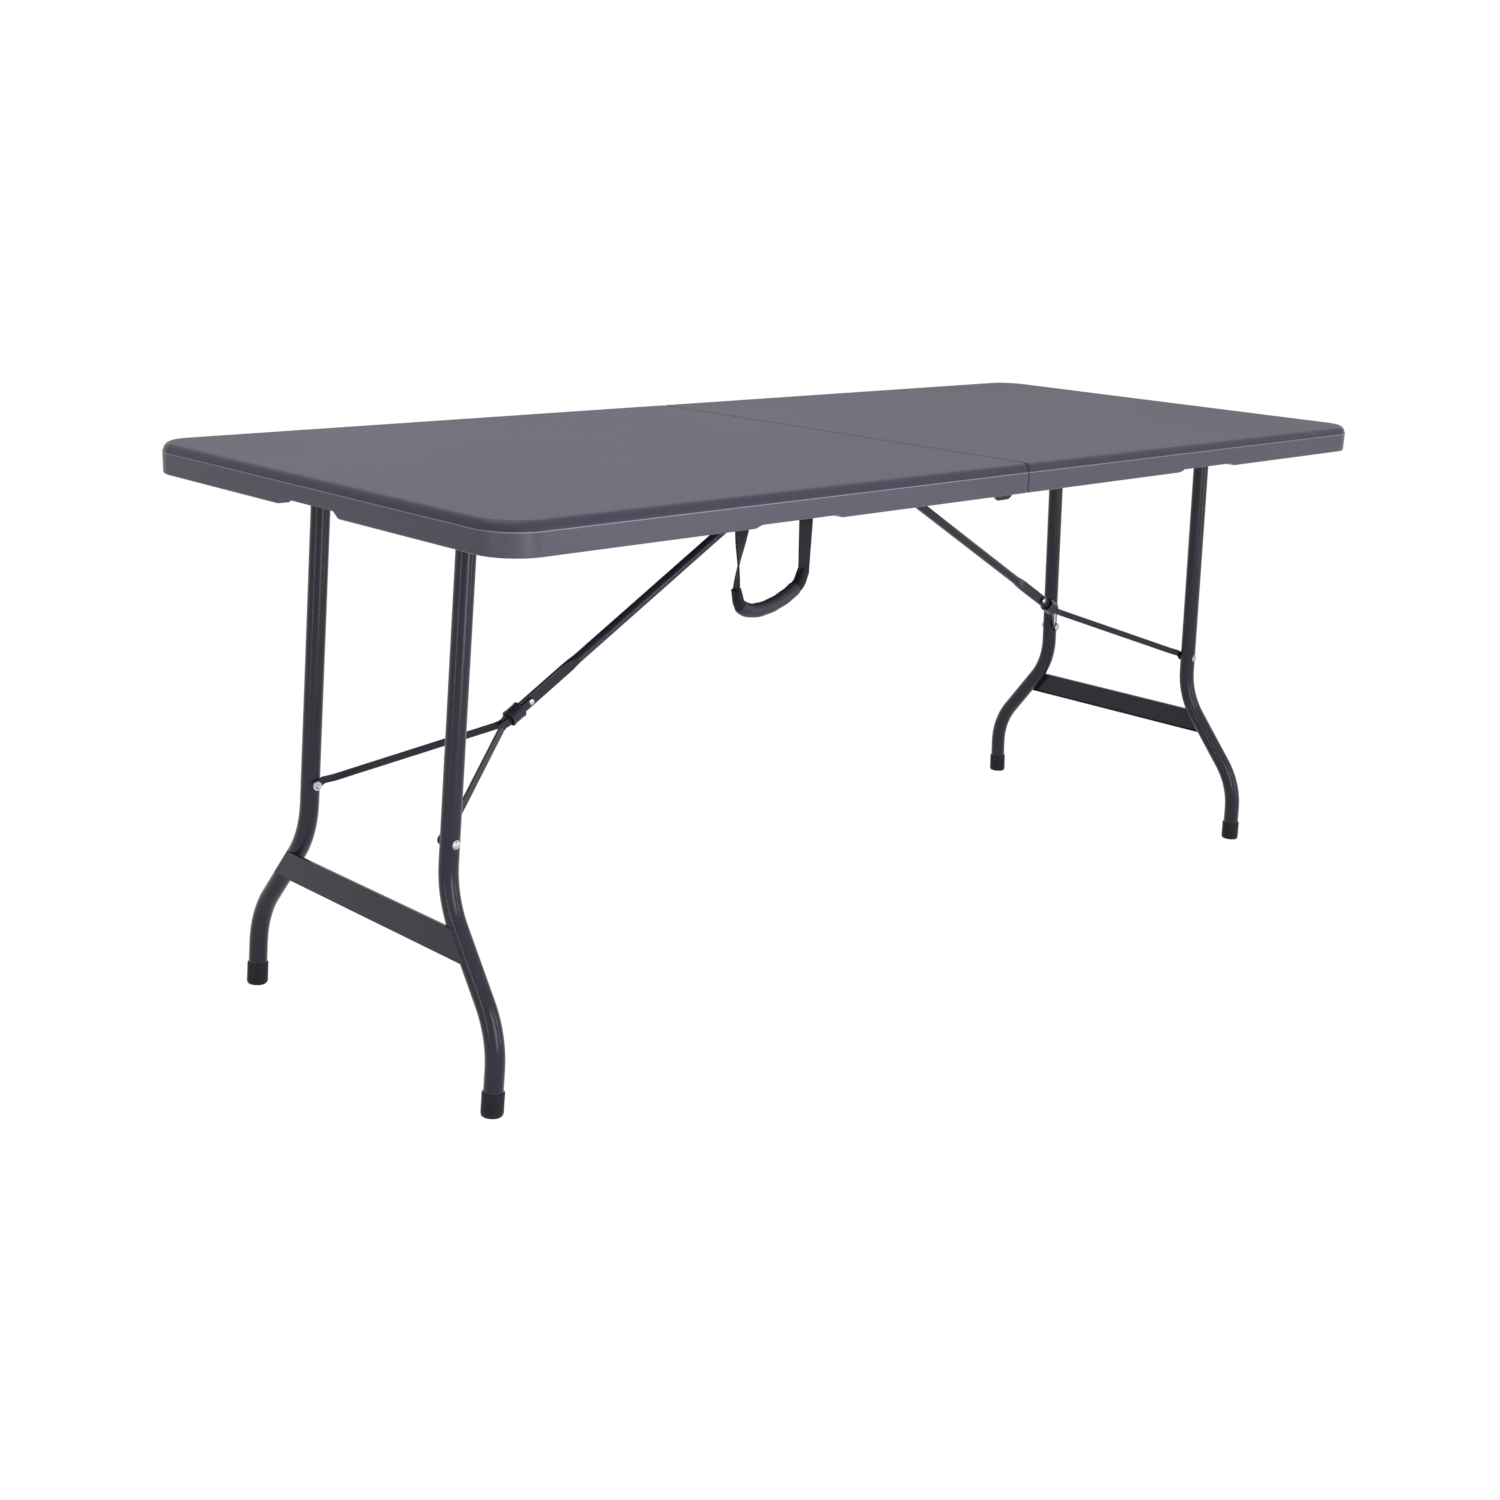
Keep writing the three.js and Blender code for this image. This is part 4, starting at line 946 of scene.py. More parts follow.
@dataclass
class Underframe:
    """Rails, centre hinges, cross tubes, bushes and screws of one half."""

    side: Side
    steel_soften: float = 0.5 * MM
    bush_soften: float = 0.25 * MM
    tube_wall: float = 1.2 * MM
    screw_head: float = 5 * MM
    screw_dome: float = 2.4 * MM
    screw_bulge: float = 0.8
    screw_shank: float = 2.2 * MM
    screw_taper: float = 9 * MM
    screw_tip: float = 11 * MM
    screw_rings: int = 22
    screw_facets: int = 64
    recess_reach: float = 2.9 * MM
    recess_half: float = 0.55 * MM
    recess_depth: float = 1.2 * MM
    pin_head: float = 7 * MM
    pin_dome: float = 2 * MM
    pin_shank: float = 4 * MM
    pin_tip: Pair = (0.8, 0.5 * MM)       # share of the shank at the tip, height of its chamfer
    pin_outline: Profile = ((0.94, 1.0), (1.0, 0.75), (0.92, 0.3), (0.62, 0.0))  # shares of head, dome

    def build(self) -> None:
        """Build and dress every piece."""
        for edge in Edge:
            self.rail(edge)
            for number in (1, 2):
                self.screw(edge, number)
        self.cross_tube()

    def rail(self, edge: Edge) -> None:
        """Dress a rail, its hinge plate and its bush, and make the hinge pin."""
        ends = f"{self.side.label}_{edge.label}"
        dress(f"rail_{ends}", PAINT, self.steel_soften)
        dress(f"hinge_plate_{ends}", PAINT, self.steel_soften)
        dress(f"pivot_bush_{ends}", NYLON, self.bush_soften)
        if self.side is Side.LEFT:
            self.hinge_pin(edge)

    def hinge_pin(self, edge: Edge) -> None:
        """Peened pin through both hinge plates."""
        node = f"hinge_pin_{edge.label}"
        low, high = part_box(node)
        middle = (low + high) / 2
        reach = (high.y - low.y) / 2
        place = Matrix.Translation(middle) @ Matrix.Rotation(math.pi * (edge is Edge.FRONT), 4, "Z")
        share, chamfer = self.pin_tip
        profile = [(0, -reach), (self.pin_shank * share, -reach), (self.pin_shank, -reach + chamfer)]
        profile += [(self.pin_shank, reach - self.pin_dome)]
        profile += [(self.pin_head * wide, reach - self.pin_dome * deep) for wide, deep in self.pin_outline]
        profile += [(0, reach)]
        shape = Shape().turned(profile, 36, along_y(place))
        shape.piece(f"peened_pin_{edge.label}", PLATED, "half_left", [node])

    def screw(self, edge: Edge, number: int) -> None:
        """Pan-head screw with a cross recess."""
        node = f"rail_screw_{self.side.label}_{edge.label}_{number}"
        low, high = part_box(node)
        foot = Vector(((low.x + high.x) / 2, (low.y + high.y) / 2, low.z))
        rings = []
        for step in range(self.screw_rings + 1):
            radius = self.screw_head * step / self.screw_rings
            fall = 1 - math.sqrt(max(0.0, 1 - self.screw_bulge * (radius / self.screw_head) ** 2))
            ring = []
            for angle in angles(self.screw_facets):
                x, y = radius * math.cos(angle), radius * math.sin(angle)
                arm = radius < self.recess_reach and min(abs(x), abs(y)) < self.recess_half
                ring.append(Vector((x, y, self.screw_dome * fall + (self.recess_depth if arm else 0.0))))
            rings.append(ring)
        shank = [(self.screw_head, self.screw_dome), (self.screw_shank, self.screw_dome)]
        shank += [(self.screw_shank, self.screw_taper), (0, self.screw_tip)]
        for radius, height in shank:
            turn = angles(self.screw_facets)
            rings.append([Vector((radius * math.cos(a), radius * math.sin(a), height)) for a in turn])
        shape = Shape(Matrix.Translation(foot)).rings(rings)
        shape.piece(f"pan_{node}", PLATED, f"half_{self.side.label}", [node])

    def cross_tube(self) -> None:
        """Tube between the rails that carries the brace."""
        node = f"brace_cross_tube_{self.side.label}"
        low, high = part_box(node)
        profile = tube_profile((high.x - low.x) / 2, self.tube_wall, (high.y - low.y) / 2)
        place = Matrix.Translation((low + high) / 2)
        shape = Shape().turned(profile, 32, along_y(place), True)
        shape.piece(f"round_{node}", PAINT, f"half_{self.side.label}", [node])


# ------------------------------------------------------------------ leg frames


@dataclass
class LegFrame:
    """Wishbone leg frame: two bent tubes, pivot tube, crossbar, rubber feet and brace bolts."""

    side: Side
    radius: float = 12.5 * MM
    top_y: float = 151 * MM
    foot_y: float = 262 * MM
    upper_corner: float = 243 * MM
    lower_corner: float = 100 * MM
    bend: float = 125 * MM
    bolt_height: float = 312 * MM
    bar_height: float = 194 * MM
    bar_depth: float = 38 * MM
    bar_face: float = 13.5 * MM
    bar_soften: float = 0.7 * MM
    foot_radius: float = 14.2 * MM
    foot_height: float = 30 * MM
    foot_room: float = 6 * MM             # rubber under the leg's end
    sole: Profile = in_mm((-2.8, -2), (-0.9, -0.2), (0, 2.4))  # past the cap's radius, height
    groove: Profile = in_mm((0, -0.9), (-0.6, -0.5), (-0.6, 0.5), (0, 0.9))
    groove_levels: tuple[float, ...] = (9 * MM, 14 * MM, 19 * MM)
    mouth: Profile = in_mm((0, -1.2), (-0.4, -0.3), (-1.1, 0))
    mouth_depth: float = 3 * MM
    bolt_shank: float = 3 * MM
    bolt_sink: float = 0.2 * MM
    bolt_head: Profile = in_mm(           # washer and dome: radius, height over the leg
        (5.7, -0.2), (5.8, 0.5), (4.9, 0.7), (4.8, 1.5), (4.0, 2.6), (2.2, 3.1), (0, 3.2),
    )
    pivot_radius: float = 9 * MM
    pivot_wall: float = 1.4 * MM
    crown_steps: int = 8
    crown_spread: float = 8.6
    weld_size: float = 1.5 * MM
    weld_seat: float = 9.6 * MM
    weld_inset: float = 2.4 * MM
    seam_steps: int = 24
    seam_share: float = 0.92              # of the bar's depth
    seam_out: float = 4.6 * MM
    seam_sink: float = 1.6 * MM
    seam_ripple: Pair = (0.14, 2.2)       # share of the bead, turn at each step
    pivot: Vector = field(init=False)
    splay: float = field(init=False)
    matrix: Matrix = field(init=False)

    def __post_init__(self) -> None:
        """Take the pivot and the splay from the frame's joint."""
        name = f"leg_fold_{self.side.label}"
        joint = next(j for j in frame["joints"] if j["name"] == name)
        self.pivot = Vector(joint["pos_m"])
        self.splay = math.radians(max(joint["range_deg"]) - 90)
        half = self.side.matrix
        local = half.inverted() @ self.pivot
        self.matrix = half @ Matrix.Translation(local) @ Matrix.Rotation(-self.splay, 4, "Y")

    @property
    def body(self) -> str:
        """Body that the leg frame moves with."""
        return f"legs_{self.side.label}"

    def drop(self, height: float) -> float:
        """Distance down the leg to a height above the floor."""
        return (self.pivot.z - height) / math.cos(self.splay)

    def build(self) -> None:
        """Build every piece of the leg frame."""
        for edge in Edge:
            self.leg(edge)
            self.foot(edge)
            self.bolt(edge)
        self.pivot_tube()
        dress(f"leg_crossbar_{self.side.label}", PAINT, self.bar_soften, 3)
        self.bar_welds()

    def leg(self, edge: Edge) -> None:
        """One bent tube with a pressed dome over the pivot tube."""
        sign = edge.local(self.side)
        end = self.drop(0) - self.foot_room
        corners = [
            Vector((0, sign * self.top_y, 0)),
            Vector((0, sign * self.top_y, -self.drop(self.upper_corner))),
            Vector((0, sign * self.foot_y, -self.drop(self.lower_corner))),
            Vector((0, sign * self.foot_y, -end)),
        ]
        path = bent(corners, self.bend)
        sections = [section(self.radius, self.radius)] * len(path)
        rings = swept(path, Vector((1, 0, 0)), sections)
        crown = []
        for step in range(self.crown_steps, 0, -1):
            lift = math.radians(90) * step / self.crown_spread
            slim = [(a * math.cos(lift), b * math.cos(lift)) for a, b in sections[0]]
            centre = path[0] + Vector((0, 0, self.radius * math.sin(lift)))
            crown += swept([centre, centre + Vector((0, 0, -MM))], Vector((1, 0, 0)), [slim, slim])[:1]
        shape = Shape(self.matrix).rings(crown + rings)
        for offset in (-1, 1):
            here = along_y(Matrix.Translation((0, sign * self.top_y, 0)))
            weld_ring(shape, self.weld_seat, self.weld_size, offset * (self.radius - self.weld_inset), here)
        name = f"{self.side.label}_{edge.label}"
        shape.piece(f"bent_leg_{name}", PAINT, self.body, [f"leg_{name}"])

    def foot(self, edge: Edge) -> None:
        """Ribbed rubber cap, its sole level with the floor."""
        r, top = self.foot_radius, self.foot_height
        profile = [(0, self.sole[0][1])] + moved(self.sole, r, 0)
        for level in self.groove_levels:
            profile += moved(self.groove, r, level)
        profile += moved(self.mouth, r, top) + [(self.radius, top), (self.radius, top - self.mouth_depth)]
        sign = edge.local(self.side)
        place = Matrix.Translation((0, sign * self.foot_y, -self.drop(0)))
        shape = Shape(self.matrix).turned(profile, 40, place)
        for point in shape.points:
            point.z = max(point.z, 0.0)
        name = f"foot_{self.side.label}_{edge.label}"
        shape.piece(f"ribbed_{name}", FOOT_RUBBER, self.body, [name])

    def bolt(self, edge: Edge) -> None:
        """Domed bolt with a washer on the outer face."""
        sign = edge.local(self.side)
        seat = self.top_y + self.radius
        tip = self.top_y - self.radius - self.bolt_sink
        profile = [(0, tip), (self.bolt_shank, tip), (self.bolt_shank, seat - self.bolt_sink)]
        profile += moved(self.bolt_head, 0, seat)
        spin = Matrix.Rotation(0 if sign > 0 else math.pi, 4, "Z")
        place = Matrix.Translation((0, 0, -self.drop(self.bolt_height))) @ spin
        name = f"leg_bolt_{self.side.label}_{edge.label}"
        shape = Shape(self.matrix).turned(profile, 28, along_y(place))
        shape.piece(f"domed_{name}", PLATED, self.body, [name])

    def pivot_tube(self) -> None:
        """Tube through both legs that turns in the rails' bushes."""
        node = f"leg_pivot_tube_{self.side.label}"
        low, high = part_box(node)
        profile = tube_profile(self.pivot_radius, self.pivot_wall, (high.y - low.y) / 2)
        place = Matrix.Translation((low + high) / 2)
        shape = Shape().turned(profile, 32, along_y(place), True)
        shape.piece(f"round_{node}", PAINT, self.body, [node])

    def bar_welds(self) -> None:
        """Weld seams where the crossbar meets both legs."""
        top, low = self.drop(self.upper_corner), self.drop(self.lower_corner)
        slope = (self.foot_y - self.top_y) / (low - top)
        middle = self.drop(self.bar_height)
        shape = Shape(self.matrix)
        ripple, pitch = self.seam_ripple
        steps = range(self.seam_steps + 1)
        sizes = [self.weld_size * (1 + ripple * math.sin(step * pitch)) for step in steps]
        sections = [section(size, self.weld_size, 2, 10) for size in sizes]
        for sign in (-1, 1):
            path = []
            for step in steps:
                down = middle + self.bar_depth * (step / self.seam_steps - 0.5) * self.seam_share
                y = self.top_y + slope * (down - top) + self.seam_out
                path.append(Vector((self.bar_face - self.seam_sink, sign * y, -down)))
            shape.rings(swept(path, Vector((1, 0, 0)), sections))
        shape.piece(f"bar_welds_{self.side.label}", PAINT, self.body)


# ------------------------------------------------------------------ braces


@dataclass
class Brace:
    """Folding brace: tube arm with a flat tongue, two flat rods, lock ring, rivet and eyelets."""

    side: Side
    arm_radius: float = 7 * MM
    tongue_half_width: float = 2.2 * MM
    tongue_half_height: float = 8.8 * MM
    tongue_power: float = 6.0             # squareness of the pressed section
    tongue_start: float = 62 * MM
    flare: float = 33 * MM
    flare_steps: int = 12
    past_rivet: float = 49 * MM
    tip_radius: float = 5 * MM
    tip_steps: int = 5
    arm_start: float = 4 * MM             # inside the eye's wall
    arm_facets: int = 36
    eye_radius: float = 11.3 * MM
    eye_half: float = 11 * MM
    eye_wall: float = 3 * MM
    eye_lip: float = 0.6 * MM
    weld_rise: float = 0.3 * MM
    weld_size: float = 1.3 * MM
    weld_sink: float = 1 * MM
    rod_soften: float = 0.8 * MM
    rivet_seat: float = 5.8 * MM
    rivet_head: float = 4.1 * MM
    rivet_shank: float = 2.2 * MM
    rivet_dome: Profile = ((1.0, 0.0), (0.92, 0.7 * MM), (0.55, 1.3 * MM), (0.0, 1.5 * MM))  # share, height
    eyelet_face: Profile = in_mm(         # radius, depth under the outer face
        (3, 1.2), (6.2, 1.2), (6.4, 0.6), (5.6, 0), (4.2, 0), (3.2, 0.7), (2.3, 1.4), (1.3, 0.5), (0, 0.4),
    )
    ring_bore: float = 9.8 * MM
    ring_wall: float = 2 * MM
    ring_half: float = 11 * MM
    ring_chamfer: float = 0.6 * MM
    ring_roll: float = 0.5 * MM
    ring_lip: float = 2.2 * MM
    ring_groove: float = 2.9 * MM
    ring_place: float = 28 * MM
    length: float = field(init=False)
    matrix: Matrix = field(init=False)

    def __post_init__(self) -> None:
        """Take the arm's line from the frame's two joints."""
        inverse = self.side.matrix.inverted()
        start = inverse @ joint_place(f"brace_swing_{self.side.label}")
        end = inverse @ joint_place(f"brace_knee_{self.side.label}")
        line = end - start
        self.length = line.length
        lean = math.atan2(-line.z, line.x)
        self.matrix = self.side.matrix @ Matrix.Translation(start) @ Matrix.Rotation(lean, 4, "Y")

    def build(self) -> None:
        """Build every piece of the brace."""
        label = self.side.label
        self.arm()
        self.rivet()
        self.lock_ring()
        for edge in Edge:
            dress(f"brace_rod_{label}_{edge.label}", PAINT, self.rod_soften, 3)
            self.eyelet(edge)

    def arm(self) -> None:
        """Round tube pressed flat past the flare, with a welded eye at its top."""
        steps = self.flare_steps
        flat_from = self.length - self.tongue_start
        end = self.length + self.past_rivet
        stations = [(self.arm_start, 0.0), (flat_from - self.flare, 0.0)]
        stations += [(flat_from - self.flare * (1 - i / steps), i / steps) for i in range(1, steps + 1)]
        stations += [(end - self.tip_radius, 1.0)]
        path, sections = [], []
        for x, press in stations:
            ease = press * press * (3 - 2 * press)
            half_y = self.arm_radius + (self.tongue_half_width - self.arm_radius) * ease
            half_z = self.arm_radius + (self.tongue_half_height - self.arm_radius) * ease
            path.append(Vector((x, 0, 0)))
            sections.append(section(half_y, half_z, 2 + (self.tongue_power - 2) * ease, self.arm_facets))
        for i in range(1, self.tip_steps + 1):
            turn = math.radians(90 * i / self.tip_steps)
            path.append(Vector((end - self.tip_radius * (1 - math.sin(turn)), 0, 0)))
            half_z = self.tongue_half_height - self.tip_radius * (1 - math.cos(turn))
            sections.append(section(self.tongue_half_width, half_z, self.tongue_power, self.arm_facets))
        shape = Shape(self.matrix).rings(swept(path, Vector((0, 1, 0)), sections))
        eye = tube_profile(self.eye_radius, self.eye_wall, self.eye_half, self.eye_lip)
        shape.turned(eye, self.arm_facets, along_y(), True)
        seat, foot = self.arm_radius + self.weld_rise, self.eye_radius - self.weld_sink
        weld_ring(shape, seat, self.weld_size, foot, along_x())
        label = self.side.label
        shape.piece(f"pressed_arm_{label}", PAINT, f"arm_{label}", [f"brace_arm_{label}"])

    def rivet(self) -> None:
        """Rivet with two round heads through the tongue and both rods."""
        label = self.side.label
        half = [(self.rivet_shank, self.rivet_seat)]
        half += [(self.rivet_head * share, self.rivet_seat + rise) for share, rise in self.rivet_dome]
        profile = [(r, -h) for r, h in reversed(half)] + half
        place = Matrix.Translation((self.length, 0, 0))
        shape = Shape(self.matrix).turned(profile, 28, along_y(place))
        shape.piece(f"round_rivet_{label}", PLATED, f"arm_{label}", [f"brace_rivet_{label}"])

    def lock_ring(self) -> None:
        """Sliding ring with rolled ends."""
        label = self.side.label
        bore, out, half = self.ring_bore, self.ring_bore + self.ring_wall, self.ring_half
        end = [
            (bore, self.ring_chamfer), (bore + self.ring_roll, 0), (out - self.ring_roll, 0),
            (out, self.ring_chamfer), (out, self.ring_lip), (out - self.ring_roll, self.ring_groove),
        ]
        profile = [(r, depth - half) for r, depth in end] + [(r, half - depth) for r, depth in reversed(end)]
        place = Matrix.Translation((self.length + self.ring_place, 0, 0))
        shape = Shape(self.matrix).turned(profile, 40, along_x(place), True)
        shape.piece(f"rolled_ring_{label}", PAINT, f"ring_{label}", [f"lock_ring_{label}"])

    def eyelet(self, edge: Edge) -> None:
        """Bright rolled eyelet in a rod's outer eye, open on the side away from the leg."""
        label = f"{self.side.label}_{edge.label}"
        node = f"brace_eyelet_{label}"
        low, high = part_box(node)
        middle = (low + high) / 2
        reach = (high.y - low.y) / 2
        profile = [(0, reach), (self.eyelet_face[0][0], reach)] + moved(self.eyelet_face, 0, -reach)
        spin = Matrix.Rotation(0 if edge is Edge.BACK else math.pi, 4, "Z")
        shape = Shape().turned(profile, 32, along_y(Matrix.Translation(middle) @ spin))
        shape.piece(f"rolled_eyelet_{label}", PLATED, f"rods_{self.side.label}", [node])


# ------------------------------------------------------------------ carry handle


@dataclass
class CarryHandle:
    """Webbing strap on two anchors, with a soft grip along its lowest part."""

    strap_half: float = 12 * MM
    strap_thick: float = 2.4 * MM
    strap_crown: float = 1.04
    strap_power: float = 7.0
    strap_top: float = -3 * MM
    strap_low: Pair = (0.8, 0.7)          # ends of the two bands, shares of the grip's drop
    band_steps: int = 40
    strap_facets: int = 28
    taper: float = 0.25
    twist: float = math.radians(68)
    left_top: float = -56 * MM
    left_low: float = -63 * MM
    right: float = 54 * MM
    grip_drop: float = 114.5 * MM
    left_bend: Profile = ((0, 0.74), (9 * MM, 0.93), (34 * MM, 1.0), (72 * MM, 0.95))  # X, share of drop
    right_bend: Profile = ((-10 * MM, 0.8), (0, 0.64))
    grip_radius: float = 8.8 * MM
    grip_run: tuple[int, int] = (9, 51)   # points of the line that the sleeve covers
    grip_ends: Pair = (0.9, 0.985)
    grip_facets: int = 40
    grip_crease: float = math.radians(50)
    swell: float = 0.02
    swell_pitch: float = 9.0
    swell_from: int = 3
    mould_line: float = 1.03
    sleeves: tuple[tuple[int, int, float, float], ...] = ((0, 13, 6.2, 8.3), (46, 60, 8.3, 7.4))
    sleeve_shape: Pair = (0.86, 2.6)      # flatness and squareness
    loop_radius: float = 4.7 * MM
    loop_wall: float = 2.2 * MM
    loop_lip: float = 0.4 * MM
    anchor_soften: float = 0.5 * MM
    stitch_rows: Pair = (-11.5 * MM, -17 * MM)
    stitch_count: int = 7
    stitch_pitch: float = 3 * MM
    stitch_lift: float = 0.15 * MM
    stitch: Profile = in_mm((-1.1, 0.12), (-0.8, 0.34), (0, 0.42), (0.8, 0.34), (1.1, 0.12))  # X, radius
    body: str = "handle"
    matrix: Matrix = field(init=False)

    def __post_init__(self) -> None:
        """Take the pivot from the frame's joint."""
        self.matrix = Matrix.Translation(joint_place("handle_swing"))

    def build(self) -> None:
        """Build every piece of the handle."""
        self.strap()
        self.stitches()
        self.grip()
        for end in ("outer", "inner"):
            dress(f"handle_anchor_{end}", NYLON, self.anchor_soften)

    def curve(self, count: int = 61) -> list[Vector]:
        """Centre line of the grip from left to right."""
        spots = moved(self.left_bend, self.left_low, 0) + moved(self.right_bend, self.right, 0)
        return resampled(smoothed([Vector((x, 0, -share * self.grip_drop)) for x, share in spots]), count)

    def band(self, shape: Shape, top_x: float, low_x: float, low_z: float, twist: float) -> None:
        """One flat run of webbing from its anchor down to the grip, and its loop on the pin."""
        rings = []
        for step in range(self.band_steps + 1):
            t = step / self.band_steps
            angle = twist * t * t * (3 - 2 * t)
            wide = Vector((math.cos(angle), math.sin(angle), 0))
            deep = Vector((-math.sin(angle), math.cos(angle), 0))
            height = self.strap_top + (low_z - self.strap_top) * t
            centre = Vector((top_x + (low_x - top_x) * t, 0, height))
            half, thick = self.strap_half * (1 - self.taper * t), self.strap_thick / 2 * self.strap_crown
            flat = section(half, thick, self.strap_power, self.strap_facets)
            rings.append([centre + a * wide + b * deep for a, b in flat])
        shape.rings(rings)
        loop = tube_profile(self.loop_radius, self.loop_wall, self.strap_half, self.loop_lip)
        shape.turned(loop, self.strap_facets, along_x(Matrix.Translation((top_x, 0, 0))), True)

    def strap(self) -> None:
        """Both bands and the dark sleeve ends that run into the grip."""
        shape = Shape(self.matrix)
        left, right = self.strap_low
        self.band(shape, self.left_top, self.left_low, -left * self.grip_drop, self.twist)
        self.band(shape, self.right, self.right, -right * self.grip_drop, 0.0)
        line = self.curve()
        flatness, power = self.sleeve_shape
        for start, stop, first, last in self.sleeves:
            run = line[start : stop + 1]
            radii = [(first + (last - first) * i / (len(run) - 1)) * MM for i in range(len(run))]
            sections = [section(radius, radius * flatness, power, self.strap_facets) for radius in radii]
            shape.rings(swept(run, Vector((0, 1, 0)), sections))
        shape.piece("woven_strap", STRAP, self.body, ["carry_strap"])

    def stitches(self) -> None:
        """Rows of thread that close each strap end round its pin."""
        shape = Shape(self.matrix)
        sections = [section(radius, radius, 2, 8) for _, radius in self.stitch]
        middle = self.stitch_count // 2
        tops, numbers = (self.left_top, self.right), range(self.stitch_count)
        for top_x, row, face, number in itertools.product(tops, self.stitch_rows, (-1, 1), numbers):
            x = top_x + (number - middle) * self.stitch_pitch
            y = face * (self.strap_thick / 2 + self.stitch_lift)
            path = [Vector((x + offset, y, row)) for offset, _ in self.stitch]
            shape.rings(swept(path, Vector((0, 1, 0)), sections))
        shape.piece("strap_stitches", THREAD, self.body)

    def grip(self) -> None:
        """Soft sleeve with rolled ends, finger swells and a mould line."""
        line = self.curve()[slice(*self.grip_run)]
        last = len(line) - 1
        sections = []
        for i in range(len(line)):
            end = min(i, last - i)
            size = self.grip_radius * (self.grip_ends[end] if end < len(self.grip_ends) else 1.0)
            inside = self.swell_from < i < last - self.swell_from
            size *= 1 - self.swell * math.cos(TURN * i / self.swell_pitch) * inside
            ring = section(size, size, 2, self.grip_facets)
            for spot in (0, self.grip_facets // 2):
                ring[spot] = (ring[spot][0] * self.mould_line, ring[spot][1])
            sections.append(ring)
        shape = Shape(self.matrix).rings(swept(line, Vector((0, 1, 0)), sections))
        shape.piece("soft_grip", GRIP_RUBBER, self.body, ["handle_grip"], self.grip_crease)


def smoothed(knots: Sequence[Vector], steps: int = 24) -> list[Vector]:
    """Smooth curve through knots.

    Args:
        knots: Points that the curve passes.
        steps: Points from each knot to the next.

    Returns:
        Points along the curve.
    """
    last = len(knots) - 1
    spans = [(b - a).length for a, b in zip(knots, knots[1:])]
    slopes = []
    for i in range(last + 1):
        before, after = max(i - 1, 0), min(i + 1, last)
        slopes.append((knots[after] - knots[before]) / sum(spans[before:after]))
    fine = []
    for i, span in enumerate(spans):
        for step in range(steps):
            t = step / steps
            start, leave = 2 * t**3 - 3 * t**2 + 1, t**3 - 2 * t**2 + t
            finish, reach = 3 * t**2 - 2 * t**3, t**3 - t**2
            fine.append(
                knots[i] * start + slopes[i] * span * leave
                + knots[i + 1] * finish + slopes[i + 1] * span * reach
            )
    return fine + [knots[-1]]


def resampled(path: Sequence[Vector], count: int) -> list[Vector]:
    """Evenly spaced points along a path.

    Args:
        path: The path's points.
        count: How many points are wanted.

    Returns:
        The new points, both ends kept.
    """
    runs = [0.0]
    for a, b in zip(path, path[1:]):
        runs.append(runs[-1] + (b - a).length)
    points, spot = [], 0
    for i in range(count):
        want = runs[-1] * i / (count - 1)
        while spot < len(path) - 2 and runs[spot + 1] < want:
            spot += 1
        part = (want - runs[spot]) / max(runs[spot + 1] - runs[spot], 1e-9)
        points.append(path[spot].lerp(path[spot + 1], part))
    return points


# ------------------------------------------------------------------ studio


@dataclass(frozen=True)
class SoftBox:
    """A rectangular area lamp."""

    name: str
    place: tuple[float, float, float]
    aim: tuple[float, float, float]
    size: tuple[float, float]
    power: float

    def build(self) -> None:
        """Hang the lamp."""
        data = bpy.data.lights.new(self.name, "AREA")
        data.shape = "RECTANGLE"
        data.size, data.size_y = self.size
        data.energy = self.power
        lamp = bpy.data.objects.new(self.name, data)
        lamp.location = self.place
        lamp.visible_camera = False
        aim = Vector(self.aim) - Vector(self.place)
        lamp.rotation_euler = aim.to_track_quat("-Z", "Y").to_euler()
        bpy.context.scene.collection.objects.link(lamp)


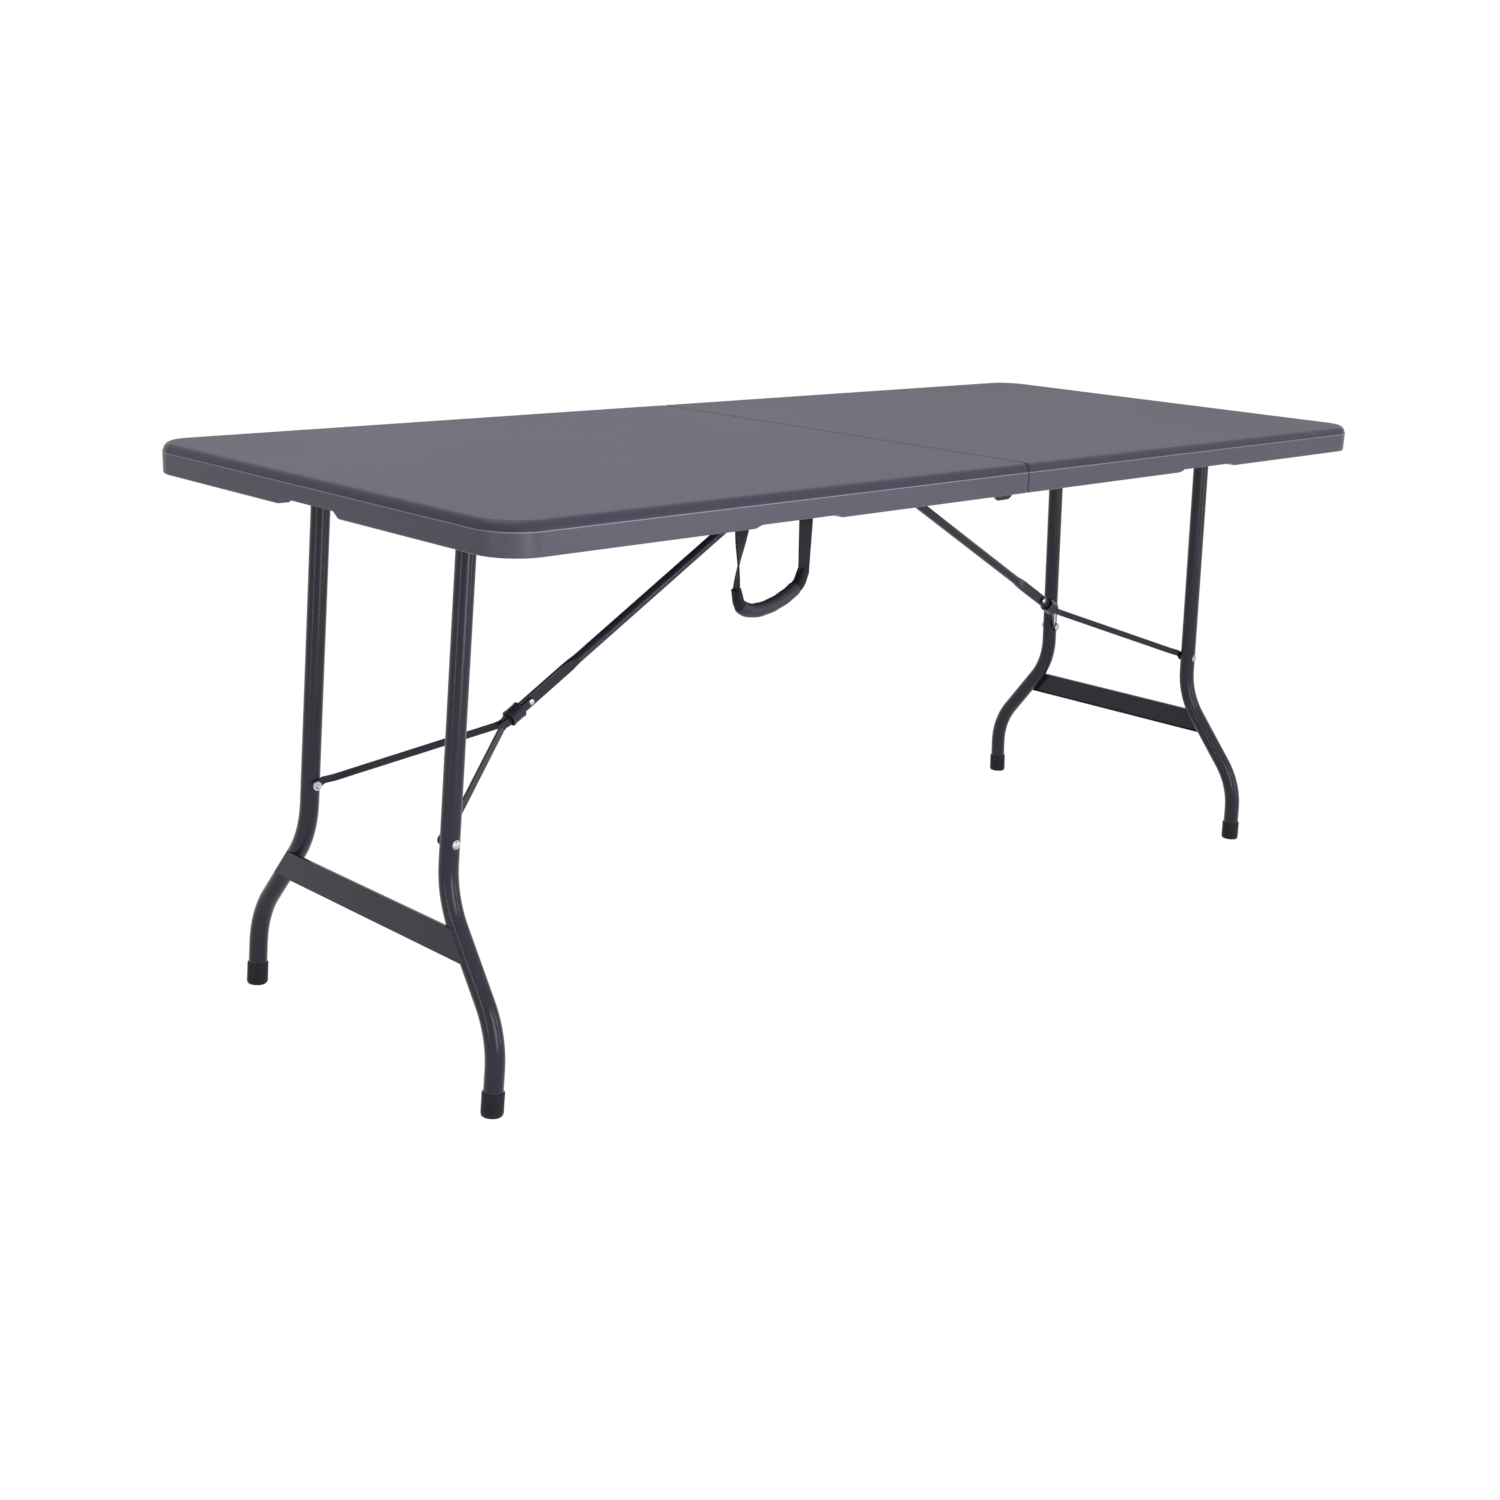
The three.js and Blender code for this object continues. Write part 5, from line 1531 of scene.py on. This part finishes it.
@dataclass
class Studio:
    """White sweep, soft lamps and the camera."""

    ambient: float = 0.25
    floor_half: float = 40.0
    floor_shade: float = 0.12
    floor_glow: float = 1.12
    floor_grey: float = 0.62
    floor_drop: float = 0.2 * MM
    eye: tuple[float, float, float] = (-2.158, -1.962, 1.0968)
    heading: float = math.radians(44.195)
    tilt: float = math.radians(-16.305)
    roll: float = math.radians(2.457)
    lens: float = 47.0
    sensor: float = 36.0
    lamps: tuple[SoftBox, ...] = (
        SoftBox("top_box", (-0.9, 0.3, 4.0), (-0.2, 0, 0.7), (3.0, 3.0), 68),
        SoftBox("front_box", (-0.9, -2.5, 0.9), (-0.7, -0.3, 0.6), (1.0, 1.6), 25),
        SoftBox("front_strip", (1.4, -2.9, 0.9), (0, 0, 0.5), (0.2, 2.2), 20),
        SoftBox("left_strip", (-4.4, -0.6, 0.9), (-0.9, -0.2, 0.6), (0.3, 2.2), 16),
    )

    def build(self) -> None:
        """Set up everything round the table."""
        for lamp in self.lamps:
            lamp.build()
        self.world()
        self.floor()
        self.camera()
        bpy.context.scene.view_settings.view_transform = "Standard"

    @staticmethod
    def seen(g: Graph) -> Wire:
        """Value that is 1 for camera, mirror and see-through rays."""
        kinds = ("Camera", "Glossy", "Transmission")
        camera, mirror, through = (g.node("ShaderNodeLightPath", output=f"Is {kind} Ray") for kind in kinds)
        return camera.larger(mirror).larger(through)

    def world(self) -> None:
        """White surroundings that light the table only at the ambient level."""
        world = bpy.data.worlds.new("white_studio")
        bpy.context.scene.world = world
        g = Graph(world)
        levels = {"Value": self.seen(g), "To Min": self.ambient, "To Max": 1.0}
        strength = g.node("ShaderNodeMapRange", None, levels)
        back = g.node("ShaderNodeBackground", None, {"Color": WHITE, "Strength": strength})
        g.close(back, "ShaderNodeOutputWorld")

    def floor(self) -> None:
        """Pale floor that keeps a faint shadow, and is clear from below."""
        h = self.floor_half
        mesh = bpy.data.meshes.new("floor")
        mesh.from_pydata([(-h, -h, 0), (h, -h, 0), (h, h, 0), (-h, h, 0)], [], [(0, 1, 2, 3)])
        plane = bpy.data.objects.new("floor", mesh)
        plane.location.z = -self.floor_drop
        bpy.context.scene.collection.objects.link(plane)
        g = new_graph("white_floor")
        pale = g.node("ShaderNodeBsdfDiffuse", None, {"Color": (*[self.floor_grey] * 3, 1)})
        glow = g.node("ShaderNodeEmission", None, {"Color": WHITE, "Strength": self.floor_glow})
        share = self.seen(g) * (1 - self.floor_shade)
        white = g.node("ShaderNodeMixShader", None, {0: share, 1: pale, 2: glow})
        below = g.node("ShaderNodeNewGeometry", output="Backfacing")
        clear = g.node("ShaderNodeBsdfTransparent")
        g.close(g.node("ShaderNodeMixShader", None, {0: below, 1: white, 2: clear}))
        mesh.materials.append(g.owner)

    def camera(self) -> None:
        """Camera at the front left corner, a little above the top."""
        yaw, pitch = self.heading, self.tilt
        ahead = Vector((math.cos(yaw) * math.cos(pitch), math.sin(yaw) * math.cos(pitch), math.sin(pitch)))
        level = Vector((math.sin(yaw), -math.cos(yaw), 0))
        upright = level.cross(ahead)
        right = level * math.cos(self.roll) + upright * math.sin(self.roll)
        up = upright * math.cos(self.roll) - level * math.sin(self.roll)
        data = bpy.data.cameras.new("camera")
        data.sensor_width = self.sensor
        data.lens = self.lens
        camera = bpy.data.objects.new("camera", data)
        axes = Matrix((right, up, -ahead)).transposed().to_4x4()
        camera.matrix_world = Matrix.Translation(self.eye) @ axes
        bpy.context.scene.collection.objects.link(camera)
        bpy.context.scene.camera = camera


def main() -> None:
    """Build the table and its surroundings."""
    logging.basicConfig(level=logging.INFO, format="%(message)s")
    Studio().build()
    TableTop().build()
    for side in Side:
        Underframe(side).build()
        LegFrame(side).build()
        Brace(side).build()
    CarryHandle().build()


if __name__ == "__main__":
    main()
